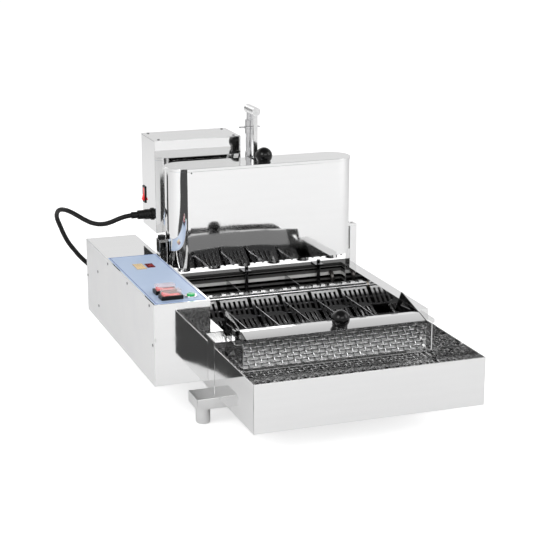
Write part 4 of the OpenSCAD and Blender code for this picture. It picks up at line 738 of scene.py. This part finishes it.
def wave_wire(name, start, direction, up, spacing, count, phase, radius):
    curve = bpy.data.curves.new(name, "CURVE")
    curve.dimensions = "3D"
    curve.bevel_depth = radius
    curve.bevel_resolution = 1
    curve.use_fill_caps = True
    line = curve.splines.new("POLY")
    line.points.add(count * WAVE_PARTS)
    for i, point in enumerate(line.points):
        along_wire = i / WAVE_PARTS
        height = radius * math.cos(math.pi * (along_wire + phase))
        place = start + direction * (along_wire * spacing) + up * height
        point.co = (*place, 1.0)
    wire = bpy.data.objects.new(name, curve)
    bpy.context.scene.collection.objects.link(wire)
    activate(wire)
    bpy.ops.object.convert(target="MESH")
    return bpy.context.object


def repeat(piece, offset, count):
    activate(piece)
    row = piece.modifiers.new("row", "ARRAY")
    row.use_relative_offset = False
    row.use_constant_offset = True
    row.constant_offset_displace = offset
    row.count = count
    bpy.ops.object.modifier_apply(modifier="row")


def joined(pieces):
    deselect()
    for piece in pieces:
        piece.select_set(True)
    bpy.context.view_layer.objects.active = pieces[0]
    if len(pieces) > 1:
        bpy.ops.object.join()
    return bpy.context.object


def woven(name, start, side, run, columns, rows, radius, bright, dark):
    step_side = side / columns
    step_run = run / rows
    up = side.cross(run).normalized()
    up = up if up.z > 0 else -up
    wires = []
    for turn in (0, 1):
        long_wire = wave_wire(name, start + turn * step_run, side.normalized(), up, step_side.length,
                              columns, turn, radius)
        repeat(long_wire, 2 * step_run, (rows - turn) // 2 + 1)
        cross_wire = wave_wire(name, start + turn * step_side, run.normalized(), up, step_run.length,
                               rows, turn + 1, radius)
        repeat(cross_wire, 2 * step_side, (columns - turn) // 2 + 1)
        wires += [long_wire, cross_wire]
    net = joined(wires)
    net.name = net.data.name = name
    bpy.ops.object.shade_smooth()
    net.data.materials.clear()
    # The wires get a painted highlight on top and painted shade below.
    net.data.materials.append(painted_light_split(f"{name}_wire", up, up.dot(start) + radius / 2, radius * LIT_SHARE,
                                   bright, dark, 0.20, 0.30))
    return net


RACK_IN = 0.003
RACK_SINK = 0.0022
RACK_WIRE = 0.0012
rack_low, rack_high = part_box("rack")
rack_size = rack_high - rack_low
rack_level = rack_high.z - RACK_SINK
# The last two numbers are the painted highlight and the painted shade of the wires.
rack = woven("rack_weave", Vector((rack_low.x + RACK_IN, rack_low.y + RACK_IN, rack_level)),
             Vector((rack_size.x - 2 * RACK_IN, 0, 0)), Vector((0, rack_size.y - 2 * RACK_IN, 0)),
             36, 18, RACK_WIRE, 0.70, 0.05)
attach(rack, "rack")
print("rack faces", len(rack.data.polygons))

# %% [markdown]
# The same weave lies on the chute's sloping plate. Its box gives the slope: the net starts
# at the box's upper rear edge and runs down to the lower front edge.

# %% Chute net
NET_WIRE = 0.0012
NET_RISE = 0.0003
NET_SHARE = 0.975
net_low, net_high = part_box("chute_net")
net_fall = Vector((0, net_low.y - net_high.y, net_low.z - net_high.z))
net_start = Vector((net_low.x + NET_WIRE, net_high.y - NET_WIRE, net_high.z + NET_RISE))
# The last two numbers are the painted highlight and the painted shade of the wires.
chute_net = woven("chute_weave", net_start, Vector((net_high.x - net_low.x - 2 * NET_WIRE, 0, 0)),
                  net_fall * NET_SHARE, 28, 6, NET_WIRE, 0.95, 0.10)
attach(chute_net, "chassis")
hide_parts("chute_net")
print("chute net faces", len(chute_net.data.polygons))

# %% [markdown]
# The weave hangs in a bent wire frame with four feet, so that it stands clear of the
# drained fat.

# %% Rack frame
FRAME_R = 0.0025
CORNER_R = 0.012
CORNER_STEPS = 6
FRAME_SINK = 0.001
LEG_IN = 0.004
LEG_ALONG = 0.03
LEG_LIFT = 0.0002
frame_curve = bpy.data.curves.new("rack_frame", "CURVE")
frame_curve.dimensions = "3D"
frame_curve.bevel_depth = FRAME_R
frame_curve.bevel_resolution = 3
frame_curve.use_fill_caps = True
frame_level = rack_level - FRAME_SINK
loop = []
for right, rear, first in ((1, 1, 0), (0, 1, 90), (0, 0, 180), (1, 0, 270)):
    mid_x = rack_high.x - FRAME_R - CORNER_R if right else rack_low.x + FRAME_R + CORNER_R
    mid_y = rack_high.y - FRAME_R - CORNER_R if rear else rack_low.y + FRAME_R + CORNER_R
    for k in range(CORNER_STEPS + 1):
        turn = math.radians(first + 90 / CORNER_STEPS * k)
        loop.append((mid_x + CORNER_R * math.cos(turn), mid_y + CORNER_R * math.sin(turn), frame_level, 1.0))
ring = frame_curve.splines.new("POLY")
ring.points.add(len(loop) - 1)
for point, place in zip(ring.points, loop):
    point.co = place
ring.use_cyclic_u = True
for x in (rack_low.x + LEG_IN, rack_high.x - LEG_IN):
    for y in (rack_low.y + LEG_ALONG, rack_high.y - LEG_ALONG):
        leg = frame_curve.splines.new("POLY")
        leg.points.add(1)
        leg.points[0].co = (x, y, rack_low.z + LEG_LIFT, 1.0)
        leg.points[1].co = (x, y, frame_level, 1.0)
rack_frame = bpy.data.objects.new("rack_frame", frame_curve)
bpy.context.scene.collection.objects.link(rack_frame)
activate(rack_frame)
bpy.ops.object.convert(target="MESH")
rack_frame = bpy.context.object
bpy.ops.object.shade_smooth_by_angle(angle=math.radians(40))
rack_frame.data.materials.clear()
rack_frame.data.materials.append(FINISHES["rack_wire"])
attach(rack_frame, "rack")
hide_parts("rack")
print("rack frame", len(rack_frame.data.polygons))

# %% [markdown]
# ## Panel print and keys
# The small pieces of the panel share two helpers: one makes a block with rounded edges,
# the other names a finished piece and hangs it on its body.


# %% Small helpers
def settle(piece, name, finish_name, body):
    activate(piece)
    bpy.ops.object.transform_apply(location=True, rotation=True, scale=True)
    piece.name = piece.data.name = name
    piece.data.materials.clear()
    piece.data.materials.append(FINISHES[finish_name])
    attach(piece, body)


def bevelled_block(low, high, edge, steps=2):
    deselect()
    bpy.ops.mesh.primitive_cube_add(size=1.0, location=(Vector(low) + Vector(high)) / 2)
    block = bpy.context.object
    block.scale = Vector(high) - Vector(low)
    bpy.ops.object.transform_apply(location=True, rotation=True, scale=True)
    bpy.ops.object.mode_set(mode="EDIT")
    bpy.ops.mesh.select_all(action="SELECT")
    bpy.ops.mesh.bevel(offset=edge, segments=steps, affect="EDGES")
    bpy.ops.object.mode_set(mode="OBJECT")
    bpy.ops.object.shade_smooth_by_angle(angle=math.radians(35))
    return block


print("helpers ready")

# %% [markdown]
# The blue film has a thin printed border. A plane is inset and its middle deleted, which
# leaves a frame of one even width, and the frame is raised by a hair so that it shows.

# %% Label border
BORDER_IN = 0.0024
BORDER_LINE = 0.0016
BORDER_RISE = 0.00012
film_low, film_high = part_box("panel_label")
film_mid = (film_low + film_high) / 2
film_size = film_high - film_low
deselect()
bpy.ops.mesh.primitive_plane_add(size=1.0, location=(film_mid.x, film_mid.y, film_high.z))
border = bpy.context.object
border.scale = (film_size.x - 2 * BORDER_IN, film_size.y - 2 * BORDER_IN, 1.0)
bpy.ops.object.transform_apply(location=True, rotation=True, scale=True)
bpy.ops.object.mode_set(mode="EDIT")
bpy.ops.mesh.select_all(action="SELECT")
bpy.ops.mesh.inset(thickness=BORDER_LINE)
bpy.ops.mesh.delete(type="FACE")
bpy.ops.mesh.select_all(action="SELECT")
bpy.ops.mesh.extrude_region_move(TRANSFORM_OT_translate={"value": (0.0, 0.0, BORDER_RISE)})
bpy.ops.object.mode_set(mode="OBJECT")
settle(border, "label_border", "blue_line", "chassis")
print("border faces", len(border.data.polygons))

# %% [markdown]
# The membrane keypad is a cream strip of four long keys on a tan base. Each key is a
# bevelled block, only a fraction of a millimetre proud.

# %% Keypad keys
KEYS = 4
KEY_GAP = 0.0012
KEY_SINK = 0.0002
KEY_RISE = 0.0005
KEY_EDGE = 0.0003
pad_low, pad_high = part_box("keypad")
key_w = (pad_high.x - pad_low.x - (KEYS + 1) * KEY_GAP) / KEYS
keys = []
for i in range(KEYS):
    x = pad_low.x + KEY_GAP + i * (key_w + KEY_GAP)
    keys.append(bevelled_block((x, pad_low.y + KEY_GAP, pad_high.z - KEY_SINK),
                               (x + key_w, pad_high.y - KEY_GAP, pad_high.z + KEY_RISE), KEY_EDGE))
settle(joined(keys), "keypad_keys", "key_cream", "chassis")
print("keys", KEYS)

# %% [markdown]
# The display shows three digits made of up to seven bars each. A bar is a thin block with
# softened edges, lying or standing, and only the lit bars are made.

# %% Display digits
SEGMENTS = {"0": "abcdef", "1": "bc", "8": "abcdefg"}
SPOTS = {"a": (0, 1, 0), "b": (0.5, 0.5, 1), "c": (0.5, -0.5, 1), "d": (0, -1, 0),
         "e": (-0.5, -0.5, 1), "f": (-0.5, 0.5, 1), "g": (0, 0, 0)}
DIGIT_H = 0.0088
DIGIT_W = 0.0044
DIGIT_PITCH = 0.0047
SPREAD_X = 0.66
SPREAD_Y = 0.5
BAR = 0.0009
BAR_RISE = 0.00006
BAR_EDGE = 0.00005
LYING = Vector((DIGIT_W * 0.28, BAR / 2, BAR_RISE))
STANDING = Vector((BAR / 2, DIGIT_H * 0.20, BAR_RISE))
lens_low, lens_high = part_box("display_window")
lens_mid = (lens_low + lens_high) / 2
bars = []
for place, digit in enumerate("180"):
    for segment in SEGMENTS[digit]:
        sx, sy, upright = SPOTS[segment]
        centre = Vector((lens_mid.x + (place - 1) * DIGIT_PITCH + sx * DIGIT_W * SPREAD_X,
                         lens_mid.y + sy * DIGIT_H * SPREAD_Y, lens_high.z + BAR_RISE))
        half = STANDING if upright else LYING
        bars.append(bevelled_block(centre - half, centre + half, BAR_EDGE, 1))
settle(joined(bars), "display_digits", "red_digit", "chassis")
print("bars", len(bars))

# %% [markdown]
# Two small rivets hold the hopper's wrap at the seam beside its left round end. A rivet is
# a flattened dome: half a sphere, pressed in along its axis.

# %% Hopper rivets
RIVET_R = 0.0017
RIVET_PRESS = 0.45
RIVET_X = 175.4
RIVET_Y = 326.0
RIVET_HEIGHTS = (409.5, 233.7)
heads = []
for z in RIVET_HEIGHTS:
    seat = at(RIVET_X, RIVET_Y, z)
    deselect()
    bpy.ops.mesh.primitive_uv_sphere_add(segments=20, ring_count=10, radius=RIVET_R, location=seat)
    head = bpy.context.object
    head.scale = (1.0, RIVET_PRESS, 1.0)
    bpy.ops.object.transform_apply(location=True, rotation=True, scale=True)
    bpy.ops.object.mode_set(mode="EDIT")
    bpy.ops.mesh.select_all(action="SELECT")
    bpy.ops.mesh.bisect(plane_co=seat, plane_no=(0.0, 1.0, 0.0), clear_outer=True, use_fill=True)
    bpy.ops.object.mode_set(mode="OBJECT")
    bpy.ops.object.shade_smooth_by_angle(angle=math.radians(40))
    heads.append(head)
settle(joined(heads), "hopper_rivets", "dark_wire", "chassis")
print("rivets", len(heads))

# %% Finish
bpy.context.view_layer.update()
